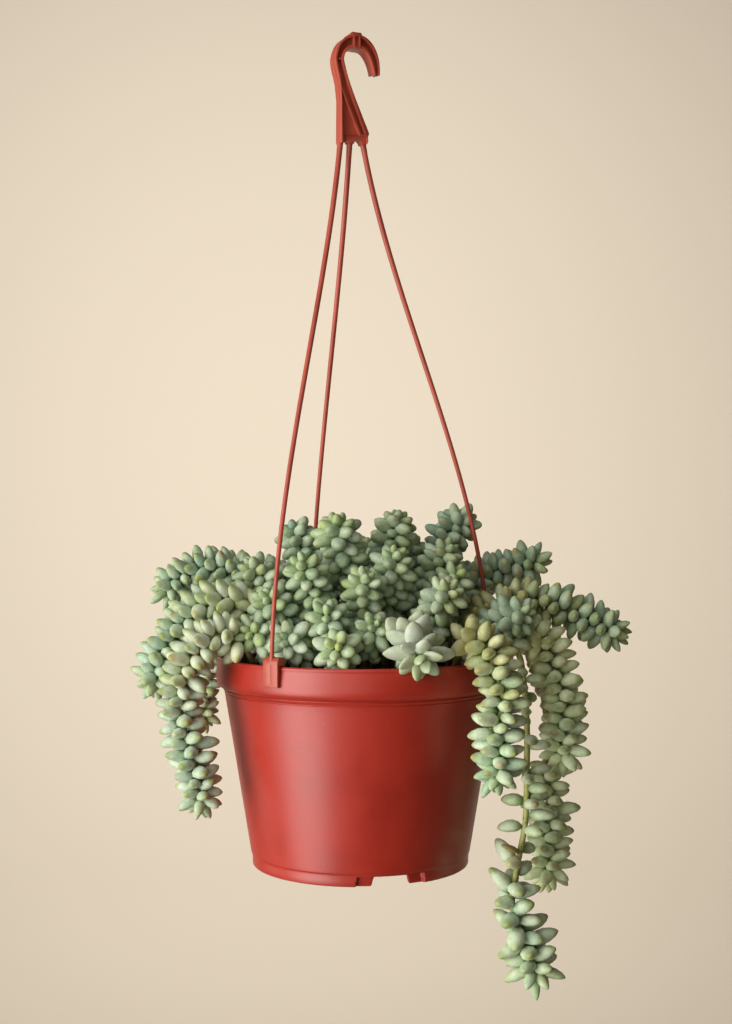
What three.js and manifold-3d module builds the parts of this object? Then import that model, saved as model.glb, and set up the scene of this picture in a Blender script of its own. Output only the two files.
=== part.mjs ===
// A hanging pot of burro's tail: a plastic pot, the soil in it, a moulded hanger with three strands
// clipped over the rim, and the leafy stems. Millimetres, +Z up, origin at the hook's saddle.
import * as THREE from "three";
import { mergeVertices } from "three/addons/utils/BufferGeometryUtils.js";
import Module from "manifold-3d";

const wasm = await Module();
wasm.setup();

// Driving dimensions. Heights are measured from the top of the pot's rim.
const RIM_RADIUS = 100;
const FOOT_RADIUS = 73.7;
const POT_HEIGHT = 143.8;
const WALL = 1.6;
const FLOOR_LIFT = 7;
const POT_SIDES = 32;
const BAYS = 3;
const BAY_AZIMUTH = 15.5;
const SOIL_DROP = 14;
const FIT = 0.35;

const SADDLE_HEIGHT = 420.6;
const POT_OFFSET = 3.6;
const HOOK_TURN = 25;
const HOOK_DEPTH = 10;
const HOOK_FOOT = -65;
const WEB_RECESS = 3.4;
const STRAND_TOP_WIDTH = 3.9;
const STRAND_END_WIDTH = 2.8;
const CLIP_WIDTH = 10;
const CLIP_RADIUS = 103.4;
const CLIP_TOP = 4;
const CLIP_DROP = 12.5;

// Stems stand upright for RISE above the soil. Leaves keep LEAF_GAP to other pieces.
const STEM_RADIUS = 2.1;
const CORE_RADIUS = 4.4;
const ROOT_DEPTH = 10;
const RISE = 3;
const CROWN_LEAFY = 42;
const LEAF_GAP = 0.35;
const LEAF_WAIST = 0.58;
const SNUG = 0.81;

const terracotta = () => new THREE.MeshStandardMaterial({ color: 0xaa3026, roughness: 0.45 });

const radians = THREE.MathUtils.degToRad;
const point = (x, y, z) => new THREE.Vector3(x, y, z);
// An azimuth of 0 faces the front, and it grows towards the right.
const aroundPot = (radius, azimuth, z) =>
  point(radius * Math.sin(radians(azimuth)), -radius * Math.cos(radians(azimuth)), z);

function toSolid(geometry) {
  const bare = geometry.clone();
  bare.deleteAttribute("normal");
  bare.deleteAttribute("uv");
  const merged = mergeVertices(bare, 1e-3);
  return new wasm.Manifold(new wasm.Mesh({
    numProp: 3,
    vertProperties: new Float32Array(merged.attributes.position.array),
    triVerts: new Uint32Array(merged.index.array),
  }));
}

function toGeometry(solid) {
  const mesh = solid.getMesh();
  const geometry = new THREE.BufferGeometry();
  geometry.setAttribute("position", new THREE.BufferAttribute(new Float32Array(mesh.vertProperties), 3));
  geometry.setIndex(new THREE.BufferAttribute(new Uint32Array(mesh.triVerts), 1));
  geometry.computeVertexNormals();
  return geometry;
}

// A solid turned about the pot's axis from an outline of [radius, height] points.
function turned(outline, sides) {
  const geometry = new THREE.LatheGeometry(outline.map(([r, z]) => new THREE.Vector2(r, z)), sides);
  geometry.rotateX(Math.PI / 2);
  return toSolid(geometry);
}

function block(width, depth, height, centre, azimuth = 0) {
  const geometry = new THREE.BoxGeometry(width, depth, height);
  geometry.translate(centre.x, centre.y, centre.z);
  geometry.rotateZ(radians(azimuth));
  return toSolid(geometry);
}

// The pot's outer face, as [radius, height] from the rim down to the foot.
const POT_OUTSIDE = [
  [98.5, -0.7], [99.4, -2.6], [RIM_RADIUS, -6], [RIM_RADIUS, -9], [98.8, -12.8], [96.4, -16.4],
  [93.4, -19.6], [91.4, -23], [74.9, -134.8], [74.1, -135.6], [FOOT_RADIUS, -143],
];
const FLOOR_UNDER = FLOOR_LIFT - POT_HEIGHT;
const FLOOR_EDGE = [FOOT_RADIUS - 1.2, FLOOR_UNDER + 2.2];
// Its inner face, from below the collar up to just under the rim.
const POT_INSIDE = POT_OUTSIDE.slice(1, 8).map(([r, z]) => [r - WALL, z]).reverse();

// Pot: a thin tapered shell with a rounded collar, a raised floor on a foot skirt,
// drain holes in the floor and three bays with a gap in the skirt.
function makePot() {
  const shell = turned([
    [0, FLOOR_UNDER], [FOOT_RADIUS - 2.1, FLOOR_UNDER], [FOOT_RADIUS - 2.4, -POT_HEIGHT],
    [FOOT_RADIUS - 0.8, -POT_HEIGHT], ...[...POT_OUTSIDE].reverse(), [97.8, 0], [97.1, -0.5],
    ...[...POT_INSIDE].reverse(), FLOOR_EDGE, [0, FLOOR_UNDER + WALL],
  ], POT_SIDES);
  const cuts = [];
  for (let i = 0; i < BAYS; i++) {
    const azimuth = BAY_AZIMUTH + (360 / BAYS) * i;
    cuts.push(block(22, 8, 12, point(0, 3 - FOOT_RADIUS, -POT_HEIGHT), azimuth));
  }
  for (let i = 0; i < 6; i++) {
    const drain = new THREE.CylinderGeometry(5, 5, 8, 8);
    drain.rotateX(Math.PI / 2);
    const centre = aroundPot(52, 45 + 60 * i, FLOOR_UNDER);
    drain.translate(centre.x, centre.y, centre.z);
    cuts.push(toSolid(drain));
  }
  return shell.subtract(wasm.Manifold.union(cuts));
}

// Soil: it fills the pot up to just under the rim, with a plain hole for each stem.
function makeSoil(stems) {
  const side = POT_INSIDE.filter(([, z]) => z < 1 - SOIL_DROP - 4).map(([r, z]) => [r - FIT * 1.3, z]);
  const bed = turned([
    [0, FLOOR_UNDER + WALL + FIT], [FLOOR_EDGE[0] - 1, FLOOR_EDGE[1] + FIT], ...side,
    [RIM_RADIUS - 8, -SOIL_DROP - 1], [60, -SOIL_DROP + 0.6], [0, -SOIL_DROP + 1.2],
  ], POT_SIDES);
  const holes = stems.map(({ foot }) => {
    const width = 2 * (STEM_RADIUS + FIT * 1.5) * Math.SQRT1_2;
    const depth = ROOT_DEPTH + 30;
    return block(width, width, depth, point(foot.x, foot.y, foot.z - FIT + depth / 2));
  });
  return bed.subtract(wasm.Manifold.union(holes));
}

// A closed tube through rings that follow a route, with a radius at each station.
function sweep(route, stations, radiusAt, sides) {
  const frames = framesAlong(route, stations);
  const positions = [];
  frames.forEach(({ centre, across, over }, i) => {
    for (let k = 0; k < sides; k++) {
      const angle = (2 * Math.PI * k) / sides;
      const rim = across.clone().multiplyScalar(Math.cos(angle)).addScaledVector(over, Math.sin(angle));
      positions.push(...centre.clone().addScaledVector(rim, radiusAt(stations[i])).toArray());
    }
  });
  const index = [];
  const last = (frames.length - 1) * sides;
  for (let i = 0; i < frames.length - 1; i++) {
    for (let k = 0; k < sides; k++) {
      const next = (k + 1) % sides;
      const [a, b, c, d] = [i * sides + k, i * sides + next, (i + 1) * sides + next, (i + 1) * sides + k];
      index.push(a, b, c, a, c, d);
    }
  }
  for (let k = 1; k < sides - 1; k++) {
    index.push(0, k + 1, k, last, last + k, last + k + 1);
  }
  return meshOf(positions, index);
}

function meshOf(positions, index) {
  const geometry = new THREE.BufferGeometry();
  geometry.setAttribute("position", new THREE.Float32BufferAttribute(positions, 3));
  geometry.setIndex(index);
  return geometry;
}

// Centre, tangent and two cross directions at each station, carried along without twist.
function framesAlong(route, stations) {
  let across = point(1, 0, 0);
  return stations.map((u) => {
    const centre = route.getPointAt(u);
    const along = route.getTangentAt(u);
    across = across.clone().addScaledVector(along, -across.dot(along)).normalize();
    return { centre, along, across, over: along.clone().cross(across) };
  });
}

// Hanger: hook, three strands and three clips are one moulding. The hook's plane is turned so
// that its left side is nearer. Outline points are [right, up] from the saddle in that plane.
const hookPlace = (right, up, out = 0) => point(
  right * Math.cos(radians(HOOK_TURN)) + out * Math.sin(radians(HOOK_TURN)) - POT_OFFSET,
  right * Math.sin(radians(HOOK_TURN)) - out * Math.cos(radians(HOOK_TURN)),
  SADDLE_HEIGHT + up,
);

function hookPlate(shape, depth, middle = 0) {
  const plate = new THREE.ExtrudeGeometry(shape, { depth, bevelEnabled: false, curveSegments: 6 });
  plate.translate(0, 0, middle - depth / 2);
  const place = plate.attributes.position;
  for (let i = 0; i < place.count; i++) {
    place.setXYZ(i, ...hookPlace(place.getX(i), place.getY(i), place.getZ(i)).toArray());
  }
  return toSolid(plate);
}

// The arm's outer and inner edges from the tip, over the saddle and down to the body.
const HOOK_OUTER = [
  [16.6, -17.7], [16.4, -8], [12.6, 2.2], [6.6, 8], [0, 9.7], [-7.6, 7.9],
  [-13.4, 2.8], [-17, -7], [-16.4, -14], [-14, -23], [-12.4, -36],
];
const HOOK_INNER = [
  [12.9, -17.7], [11.2, -10.6], [8.4, -4.6], [4.6, -0.6], [0, 0], [-5.4, -0.4],
  [-9.2, -3.6], [-10.8, -8], [-9.9, -13], [-7, -22.6], [-2, -35.2],
];
const pairs = (list) => list.map(([x, y]) => new THREE.Vector2(x, y));
const between = (part) => HOOK_OUTER.map(([x, y], i) =>
  [x + (HOOK_INNER[i][0] - x) * part, y + (HOOK_INNER[i][1] - y) * part]);

function makeHook() {
  const outline = new THREE.Shape(pairs([
    ...HOOK_OUTER, [-12.4, HOOK_FOOT], [-10, HOOK_FOOT - 1.6], [5.4, HOOK_FOOT - 1.6], [7.4, HOOK_FOOT + 1.4],
    [7.6, -57.8], ...[...HOOK_INNER].reverse(),
  ]));
  const channel = new THREE.Shape(pairs([
    ...between(0.26), [3, -59], [5.2, -59], ...between(0.76).reverse(),
  ]));
  const panel = new THREE.Shape(pairs([[-10.4, -36], [-9.4, -37], [0.6, -61], [-10.4, -61]]));
  let hook = hookPlate(outline, HOOK_DEPTH);
  for (const side of [-1, 1]) {
    const middle = side * (HOOK_DEPTH / 2);
    hook = hook.subtract(hookPlate(channel, 2 * WEB_RECESS, middle));
    hook = hook.subtract(hookPlate(panel, WEB_RECESS, middle));
  }
  const keeper = new THREE.Shape(pairs([[-3.8, 0.2], [4.2, 0.2], [4.4, 12.1], [-4.4, 12.1]]));
  return hook.add(hookPlate(keeper, HOOK_DEPTH + 1.4));
}

const STRANDS = [
  { name: "left", leaves: -11.4, azimuth: -34 },
  { name: "back", leaves: -4.4, azimuth: -158 },
  { name: "right", leaves: 5.6, azimuth: 114 },
];

// A strand drops evenly, and swings out fast at first and hardly at all where it meets its clip.
class StrandRoute extends THREE.Curve {
  constructor(strand) {
    super();
    this.top = hookPlace(strand.leaves, HOOK_FOOT + 3);
    this.end = aroundPot(CLIP_RADIUS - 2.2, strand.azimuth, CLIP_TOP - 2);
  }

  getPoint(t, target = new THREE.Vector3()) {
    const swing = 0.7 * (t ** 3 - 2 * t ** 2 + t) + (3 * t ** 2 - 2 * t ** 3) + 0.1 * (t ** 3 - t ** 2);
    return target.set(
      this.top.x + (this.end.x - this.top.x) * swing,
      this.top.y + (this.end.y - this.top.y) * swing,
      this.top.z + (this.end.z - this.top.z) * t,
    );
  }
}

function makeClip(azimuth) {
  const outer = block(CLIP_WIDTH, 3, CLIP_TOP + CLIP_DROP,
    point(0, 1.5 - CLIP_RADIUS, (CLIP_TOP - CLIP_DROP) / 2), azimuth);
  const bridge = block(CLIP_WIDTH, 10.6, CLIP_TOP - FIT,
    point(0, 5.3 - CLIP_RADIUS, (CLIP_TOP + FIT) / 2), azimuth);
  const inner = block(CLIP_WIDTH, 2, CLIP_TOP + 7, point(0, 9.6 - CLIP_RADIUS, (CLIP_TOP - 7) / 2), azimuth);
  return outer.add(bridge).add(inner);
}

function makeHanger() {
  const pieces = [makeHook()];
  const stations = Array.from({ length: 13 }, (_, i) => i / 12);
  for (const strand of STRANDS) {
    const width = (t) => THREE.MathUtils.lerp(STRAND_TOP_WIDTH, STRAND_END_WIDTH, t) / 2;
    pieces.push(toSolid(sweep(new StrandRoute(strand), stations, width, 6)), makeClip(strand.azimuth));
  }
  return wasm.Manifold.union(pieces);
}

// Leaves are plump spindles raised from the faces of a stem's core, in whorls that turn by half
// a face from one to the next. A leaf that would touch another piece is shortened or left out.
class Space {
  constructor() {
    this.balls = [];
  }

  add(balls) {
    this.balls.push(...balls);
  }

  isClear(balls, owner) {
    return balls.every((ball) => potClear(ball) && this.balls.every((other) => other.owner === owner
      || other.centre.distanceTo(ball.centre) > other.radius + ball.radius + LEAF_GAP));
  }
}

// The pot's wall, with its rim, is a thin cone. What is inside the rim stays above the soil.
function potClear({ centre, radius }) {
  const out = Math.hypot(centre.x, centre.y);
  const wall = THREE.MathUtils.mapLinear(Math.min(centre.z, -20), -20, -POT_HEIGHT, 94, FOOT_RADIUS);
  const rim = centre.z > -20 ? RIM_RADIUS : wall + 1;
  if (centre.z > 0) {
    const miss = Math.hypot(Math.max(0, 96.8 - out, out - 99.5), centre.z);
    return miss > radius + LEAF_GAP && centre.z - radius > 1 - SOIL_DROP;
  }
  if (out > rim - 2) return out - rim > radius + LEAF_GAP;
  return 96.8 - out > radius + LEAF_GAP && centre.z - radius > 1.6 - SOIL_DROP;
}

function ballsAlong(route, from, to, radiusAt, owner) {
  const length = route.getLength() * (to - from);
  const count = Math.max(2, Math.ceil(length / 2.5));
  return Array.from({ length: count + 1 }, (_, i) => {
    const u = from + ((to - from) * i) / count;
    return { centre: route.getPointAt(u), radius: radiusAt(u), owner };
  });
}

// A leaf's girth along its length, as [part of the length, part of the half width].
const LEAF_GIRTH = [[0.3, 0.85], [0.45, 1.02], [0.6, 1.05], [0.75, 0.78], [0.88, 0.46], [0.98, 0.16]];

function leafBalls(root, tip, half, owner) {
  return LEAF_GIRTH.map(([part, girth]) => ({
    centre: root.clone().lerp(tip, part),
    radius: half * girth,
    owner,
  }));
}

function seeded(seed) {
  let state = seed;
  return () => {
    state = (state * 1664525 + 1013904223) % 4294967296;
    return state / 4294967296;
  };
}

// The stem's rings: its end in the soil, a few along the bare foot, then one for each whorl.
function stationsFor(stem) {
  const length = stem.route.getLength();
  const rooted = (ROOT_DEPTH + RISE) / length;
  const bare = Math.max(stem.bare / length, rooted);
  const bareRings = Math.max(1, Math.round((stem.bare - ROOT_DEPTH - RISE) / 16));
  const whorls = Math.round((length - stem.bare) / stem.pitch);
  const list = [0];
  for (let i = 0; i < bareRings; i++) list.push(rooted + ((bare - rooted) * i) / bareRings);
  for (let i = 0; i <= whorls; i++) list.push(Math.min(1, bare + ((1 - bare) * i) / whorls));
  return { list, firstWhorl: bareRings + 1, bare };
}

function coreRadius(stem, u, bare) {
  if (u <= bare + 1e-6) return STEM_RADIUS;
  const length = stem.route.getLength();
  const toTip = (1 - u) * length;
  return Math.min(stem.core, STEM_RADIUS + 0.35 * (u - bare) * length, 2.2 + toTip * 0.16);
}

function leafyStem(stem, space) {
  const random = seeded(stem.seed);
  const { list, firstWhorl, bare } = stationsFor(stem);
  const frames = framesAlong(stem.route, list);
  const length = stem.route.getLength();
  const positions = [];
  const turns = list.map((_, i) => Math.PI / 4 * (1 + Math.max(0, i - firstWhorl)));
  frames.forEach(({ centre, across, over }, i) => {
    for (let k = 0; k < 4; k++) {
      const angle = turns[i] + (Math.PI / 2) * k;
      const rim = across.clone().multiplyScalar(Math.cos(angle)).addScaledVector(over, Math.sin(angle));
      positions.push(centre.clone().addScaledVector(rim, coreRadius(stem, list[i], bare)));
    }
  });
  const index = [];
  const quad = (a, b, c, d) => index.push(a, b, c, a, c, d);
  quad(3, 2, 1, 0);
  const made = [];
  for (let i = 0; i < frames.length - 1; i++) {
    for (let k = 0; k < 4; k++) {
      const corners = [i * 4 + k, i * 4 + (k + 1) % 4, (i + 1) * 4 + (k + 1) % 4, (i + 1) * 4 + k];
      const leaf = i >= firstWhorl && raiseLeaf(stem, corners, frames, i, (1 - list[i + 1]) * length);
      if (leaf) {
        made.push(...leaf.balls);
        addSpindle(positions, index, corners, leaf.ring, leaf.tip);
      } else quad(...corners);
    }
  }
  const top = (frames.length - 1) * 4;
  const end = frames[frames.length - 1];
  const tip = end.centre.clone().addScaledVector(end.along, stem.leaf * 0.5);
  positions.push(tip);
  for (let k = 0; k < 4; k++) index.push(top + k, top + (k + 1) % 4, positions.length - 1);
  space.add(made);
  return meshOf(positions.flatMap((p) => p.toArray()), index);

  // A leaf leans less and is shorter near the stem's tip. It is tried at shorter and shorter lengths.
  function raiseLeaf(owner, corners, rings, i, toTip) {
    const along = rings[i].along.clone().add(rings[i + 1].along).normalize();
    const axis = rings[i].centre.clone().lerp(rings[i + 1].centre, 0.5);
    const root = corners.reduce((sum, c) => sum.addScaledVector(positions[c], 0.25), point(0, 0, 0));
    const out = root.clone().sub(axis);
    out.addScaledVector(along, -out.dot(along)).normalize();
    const young = THREE.MathUtils.clamp(1 - toTip / 26, 0, 1);
    const lean = radians(THREE.MathUtils.lerp(owner.lean, 27, young) + 8 * (random() - 0.5));
    const size = (0.92 + 0.16 * random()) * THREE.MathUtils.lerp(1, 0.7, young);
    if (random() < owner.thinning(1 - toTip / length)) return null;
    const way = out.clone().multiplyScalar(Math.sin(lean)).addScaledVector(along, Math.cos(lean));
    const side = along.clone().cross(out).normalize();
    const back = way.clone().cross(side).normalize();
    // Steep leaves near the tip and those inside a bend stand closer, so they are slimmer.
    const steep = Math.sin(lean) / Math.sin(radians(owner.lean));
    const turn = rings[i + 1].along.clone().sub(rings[i].along);
    const room = Math.min(1, 1 - (owner.leaf * 0.8 * out.dot(turn)) / owner.pitch);
    if (room < 0.6) return null;
    const grown = Math.min(1, size + 0.05);
    const wide = (owner.width / 2) * grown * Math.min(1, steep ** 0.5);
    const thick = Math.min(owner.width * 0.44, owner.pitch * 0.38) * grown * room ** 1.6
      * Math.min(1, steep ** 1.5);
    for (const reach of [1, 0.92, 0.84, 0.76, 0.68, 0.6]) {
      const long = owner.leaf * size * reach;
      const fat = Math.min(1, reach + 0.12);
      const tipPoint = root.clone().addScaledVector(way, long);
      const balls = leafBalls(root, tipPoint, Math.hypot(wide, thick) * fat * SNUG, owner.name);
      if (!space.isClear(balls, owner.name)) continue;
      const middle = root.clone().addScaledVector(way, long * LEAF_WAIST);
      const ring = [[-1, -1], [1, -1], [1, 1], [-1, 1]].map(([s, b]) => middle.clone()
        .addScaledVector(side, s * wide * fat).addScaledVector(back, b * thick * fat));
      return { ring, tip: tipPoint, balls };
    }
    return null;
  }
}

// Four side walls from the root's corners to the widest ring, then four faces to the tip.
function addSpindle(positions, index, corners, ring, tip) {
  const first = positions.length;
  positions.push(...ring, tip);
  for (let k = 0; k < 4; k++) {
    const next = (k + 1) % 4;
    if (k === 2) index.push(corners[k], corners[next], first + k, corners[next], first + next, first + k);
    else index.push(corners[k], corners[next], first + next, corners[k], first + next, first + k);
    index.push(first + k, first + next, first + 4);
  }
}

const everyLeaf = () => 0;
const common = { core: CORE_RADIUS, leaf: 18, width: 11, pitch: 10.6, lean: 67, thinning: everyLeaf };

// Heads of the crown: the middle of each head, seen from the front left to right, then at the back.
const CROWN = [
  ["crown_centre_tall", -13, -18, 80], ["crown_right_tall", 24, 15, 91], ["crown_left_tall", -47, 20, 86],
  ["crown_left_shoulder", -73, -20, 64], ["crown_left_inner", -30, -40, 62], ["crown_centre", 3, -48, 53],
  ["crown_right_inner", 24, -28, 67], ["crown_front_left", -22, -68, 34], ["crown_front_centre", 9, -71, 29],
  ["crown_right_front", 58, -52, 43], ["crown_rim_centre", -13, -85, 12], ["crown_rim_left", -45, -66, 15],
  ["crown_rim_far_left", -68, -54, 18], ["crown_left_middle", -58, -42, 42], ["crown_right_back", 56, 6, 71],
  ["crown_right_middle", 66, -12, 56], ["crown_right_behind", 73, 57, 89],
  ["crown_right_over_rim", 101, -47, 32], ["crown_rim_pale", 37, -98, 12],
  ["crown_middle_back", 4, 34, 76], ["crown_back_left", -30, 52, 70],
  ["crown_back_right", 36, 48, 70], ["crown_side_left", -64, 46, 52], ["crown_back_low", 2, 74, 46],
  ["crown_back_far_left", -58, 70, 24], ["crown_back_low_right", 34, 82, 34],
  ["crown_side_far_left", -88, 16, 34], ["crown_side_right", 62, 78, 26],
];

// Longer stems follow routes chosen by hand: a foot in the soil, then points along the stem.
const LONG = [
  ["arch_left", 100, [-54, -4], [-66, -5, 34], [-82, -6, 52], [-99, -8, 60], [-118, -8, 57], [-133, -8, 50]],
  ["arch_lower_left", 132, [-54, -26], [-68, -31, 30], [-90, -35, 40], [-111, -36, 33], [-127, -36, 15],
    [-138, -36, -5], [-142, -36, -12]],
  ["arch_right_behind", 78, [62, 28], [71, 43, 36], [84, 54, 52], [104, 57, 60], [122, 57, 67]],
  ["arch_right", 112, [66, 2], [82, -5, 33], [103, -10, 41], [126, -12, 38], [148, -12, 30], [172, -12, 21]],
  ["arch_back_left", 78, [-50, 24], [-70, 34, 46], [-90, 44, 56], [-110, 52, 54], [-122, 57, 47]],
  ["arch_back_right", 74, [36, 56], [54, 76, 38], [68, 94, 48], [80, 110, 45], [88, 121, 37]],
  ["trail_left", 138, [-68, -44], [-80, -56, 14], [-98, -61, 16], [-113, -62, -4], [-118, -61, -26],
    [-115, -60, -46], [-109, -59, -66], [-105, -58, -88]],
  ["trail_front_right", 108, [58, -58], [70, -73, 15], [80, -84, 13], [88, -88, -9], [92, -87, -23],
    [87, -85, -40], [90, -83, -54], [88, -81, -74]],
  ["trail_right", 108, [82, -22], [100, -26, 15], [121, -23, 13], [134, -21, -12], [140, -20, -33],
    [140, -20, -54], [138, -20, -72]],
  ["trail_right_long", 262, [74, -36], [86, -37, 7], [97, -38, 12], [106, -37, 4], [110, -36, -16],
    [112, -36, -44], [112, -35, -76], [111, -35, -110], [105, -35, -142], [102, -35, -166],
    [106, -35, -186], [115, -35, -218]],
  ["trail_right_behind", 178, [76, 12], [92, 14, 14], [107, 17, 8], [119, 19, -30], [125, 20, -60],
    [132, 16, -92], [138, 12, -122], [138, 9, -156]],
  ["trail_back_right", 108, [26, 66], [36, 82, 14], [46, 97, 14], [55, 109, -8], [58, 113, -34],
    [56, 112, -60], [54, 109, -78]],
  ["trail_back", 92, [-10, 70], [-9, 86, 14], [-8, 101, 14], [-6, 113, -8], [-6, 117, -32], [-8, 117, -58]],
  ["trail_back_left", 98, [-70, 32], [-80, 46, 14], [-93, 58, 15], [-105, 67, -2], [-110, 71, -24],
    [-109, 71, -56]],
];

const soilTop = (x, y) => 1.2 - SOIL_DROP - 0.6 * Math.min(1, Math.hypot(x, y) / 60);

function standing(x, y) {
  const level = soilTop(x, y);
  return { foot: point(x, y, level - ROOT_DEPTH), ground: point(x, y, level + RISE) };
}

// A crown stem rises from the soil nearer the middle and turns outwards as it ends in its head.
function crownStem([name, x, y, z], number) {
  const inward = Math.min(0.74, 76 / Math.hypot(x, y));
  const { foot, ground } = standing(x * inward, y * inward);
  const out = Math.min(1, Math.hypot(x, y) / 100);
  const way = point(x, y, 0).setLength(out).add(point(0, 0, 1.05 - out * out)).normalize();
  const tip = point(x, y, z).addScaledVector(way, 4);
  const reach = tip.distanceTo(ground);
  const route = new THREE.CurvePath();
  route.add(new THREE.LineCurve3(foot, ground));
  route.add(new THREE.CubicBezierCurve3(ground, ground.clone().add(point(0, 0, reach * 0.36)),
    tip.clone().addScaledVector(way, -reach * 0.36), tip));
  const length = route.getLength();
  const bare = Math.max(ROOT_DEPTH + RISE + 2, length - CROWN_LEAFY);
  return { ...common, name, foot, route, bare, seed: 11 + number };
}

function longStem([name, leafy, [x, y], ...points], number) {
  const { foot, ground } = standing(x, y);
  const route = new THREE.CurvePath();
  route.add(new THREE.LineCurve3(foot, ground));
  route.add(new THREE.CatmullRomCurve3([ground, ...points.map((p) => point(...p))], false, "centripetal"));
  const bare = Math.max(ROOT_DEPTH + RISE + 2, route.getLength() - leafy);
  const trailing = name.startsWith("trail");
  const stem = { ...common, name, foot, route, bare, seed: 101 + number };
  Object.assign(stem, { leaf: 17.5, width: 11, pitch: 11.8, lean: trailing ? 70 : 64 });
  // The longest stem is nearly bare along its middle.
  if (name === "trail_right_long") {
    stem.core = 3;
    stem.thinning = (u) => (u > 0.3 && u < 0.66 ? 0.7 : 0.1);
  }
  return stem;
}

const stems = [...CROWN.map(crownStem), ...LONG.map(longStem)];

const space = new Space();
for (const stem of stems) {
  const { bare } = stationsFor(stem);
  space.add(ballsAlong(stem.route, 0, 1, (u) => coreRadius(stem, u, bare), stem.name));
}
for (const strand of STRANDS) {
  space.add(ballsAlong(new StrandRoute(strand), 0.5, 1, () => STRAND_TOP_WIDTH / 2, "hanger"));
  for (const [radius, z] of [[101, 2], [101, -4], [101, -10], [96, 2], [94, -3]]) {
    space.add([{ centre: aroundPot(radius, strand.azimuth, z), radius: 6, owner: "hanger" }]);
  }
}

const plant = new THREE.Group();
plant.position.set(POT_OFFSET, 0, -SADDLE_HEIGHT);
function place(name, geometry, material) {
  const mesh = new THREE.Mesh(geometry, material);
  mesh.name = name;
  plant.add(mesh);
}

place("pot", toGeometry(makePot()), terracotta());
const peat = new THREE.MeshStandardMaterial({ color: 0x241a13, roughness: 0.95 });
place("soil", toGeometry(makeSoil(stems)), peat);
place("hanger", toGeometry(makeHanger()), terracotta());
stems.forEach((stem, i) => {
  const hue = 0.27 + 0.1 * ((i * 0.618) % 1);
  const green = new THREE.Color().setHSL(hue, 0.2, 0.56);
  place(stem.name, leafyStem(stem, space), new THREE.MeshStandardMaterial({ color: green, roughness: 0.6 }));
});

const part = new THREE.Group();
part.add(plant);
export default part;
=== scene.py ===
import bmesh
import bpy
import numpy as np
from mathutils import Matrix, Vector


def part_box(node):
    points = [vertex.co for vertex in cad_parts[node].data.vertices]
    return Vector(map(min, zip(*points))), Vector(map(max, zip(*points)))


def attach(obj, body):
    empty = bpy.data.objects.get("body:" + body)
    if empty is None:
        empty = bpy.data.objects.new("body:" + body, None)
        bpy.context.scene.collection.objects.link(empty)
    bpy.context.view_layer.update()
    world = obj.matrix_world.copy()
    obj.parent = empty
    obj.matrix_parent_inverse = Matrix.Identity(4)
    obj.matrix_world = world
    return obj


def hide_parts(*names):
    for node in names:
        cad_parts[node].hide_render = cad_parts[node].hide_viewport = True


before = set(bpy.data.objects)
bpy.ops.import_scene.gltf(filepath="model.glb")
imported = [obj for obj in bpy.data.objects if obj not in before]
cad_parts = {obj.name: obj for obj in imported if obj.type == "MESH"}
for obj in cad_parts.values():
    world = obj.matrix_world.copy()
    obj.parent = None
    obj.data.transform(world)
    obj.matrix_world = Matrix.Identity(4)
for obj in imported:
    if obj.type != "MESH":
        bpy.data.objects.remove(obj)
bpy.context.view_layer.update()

# Pot: a 20 cm hanging pot, injection moulded in red-brown polypropylene. Its wall is a plain cone under
# a rounded collar with two fine bead lines. The floor is raised on a foot skirt, which has three bays
# let into it, each open in its middle so that water runs out.
pot_low, pot_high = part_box("pot")
AXIS_X = (pot_low.x + pot_high.x) / 2
RIM_Z = pot_high.z
POT_HEIGHT = (pot_high.z - pot_low.z) * 1000
FOOT_RADIUS = 74.8
FLOOR_UNDER = 7 - POT_HEIGHT
WALL = 1.6
BAY_AZIMUTHS = (16.2, 136.2, 256.2)
BAY_TOP = -137
BAY_RECESS = 2.6
# Half widths of a bay at its top and bottom, and of the gap in it between its slanting ends.
BAY_HALF_WIDTHS = (22.2, 24)
GAP_TOP = -137.35
GAP_HALF_WIDTHS = (11.5, 14.1)
DRAIN_RADIUS = 5
DRAIN_CIRCLE = 52


def in_frame(points):
    """Points in millimetres from the middle of the pot's rim, as metres in the part's frame."""
    return np.asarray(points, float) * 0.001 + (AXIS_X, 0, RIM_Z)


def smooth_line(points, steps):
    """A centripetal Catmull-Rom curve: a cubic on each span, whose end slopes come from the points on
    both sides, weighed by the square roots of their distances."""
    p = np.asarray(points, float)
    p = np.vstack([2 * p[0] - p[1], p, 2 * p[-1] - p[-2]])
    span = np.diff(p, axis=0)
    root = np.sqrt(np.linalg.norm(span, axis=1))[:, None]
    (a, b, c), (u, v, w) = (span[:-2], span[1:-1], span[2:]), (root[:-2], root[1:-1], root[2:])
    leaving = (a / u - (a + b) / (u + v) + b / v) * v
    arriving = (b / v - (b + c) / (v + w) + c / w) * v
    t = np.linspace(0, 1, steps, endpoint=False)[:, None]
    line = (2 * t**3 - 3 * t**2 + 1) * p[1:-2, None] + (t**3 - 2 * t**2 + t) * leaving[:, None]
    line = line + (3 * t**2 - 2 * t**3) * p[2:-1, None] + (t**3 - t**2) * arriving[:, None]
    return np.vstack([line.reshape(-1, p.shape[1]), p[-2]])


def smoothstep(low, high, value):
    """0 below low, 1 above high, and 3t^2 - 2t^3 between them."""
    t = np.clip((value - low) / (high - low), 0, 1)
    return t * t * (3 - 2 * t)


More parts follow.
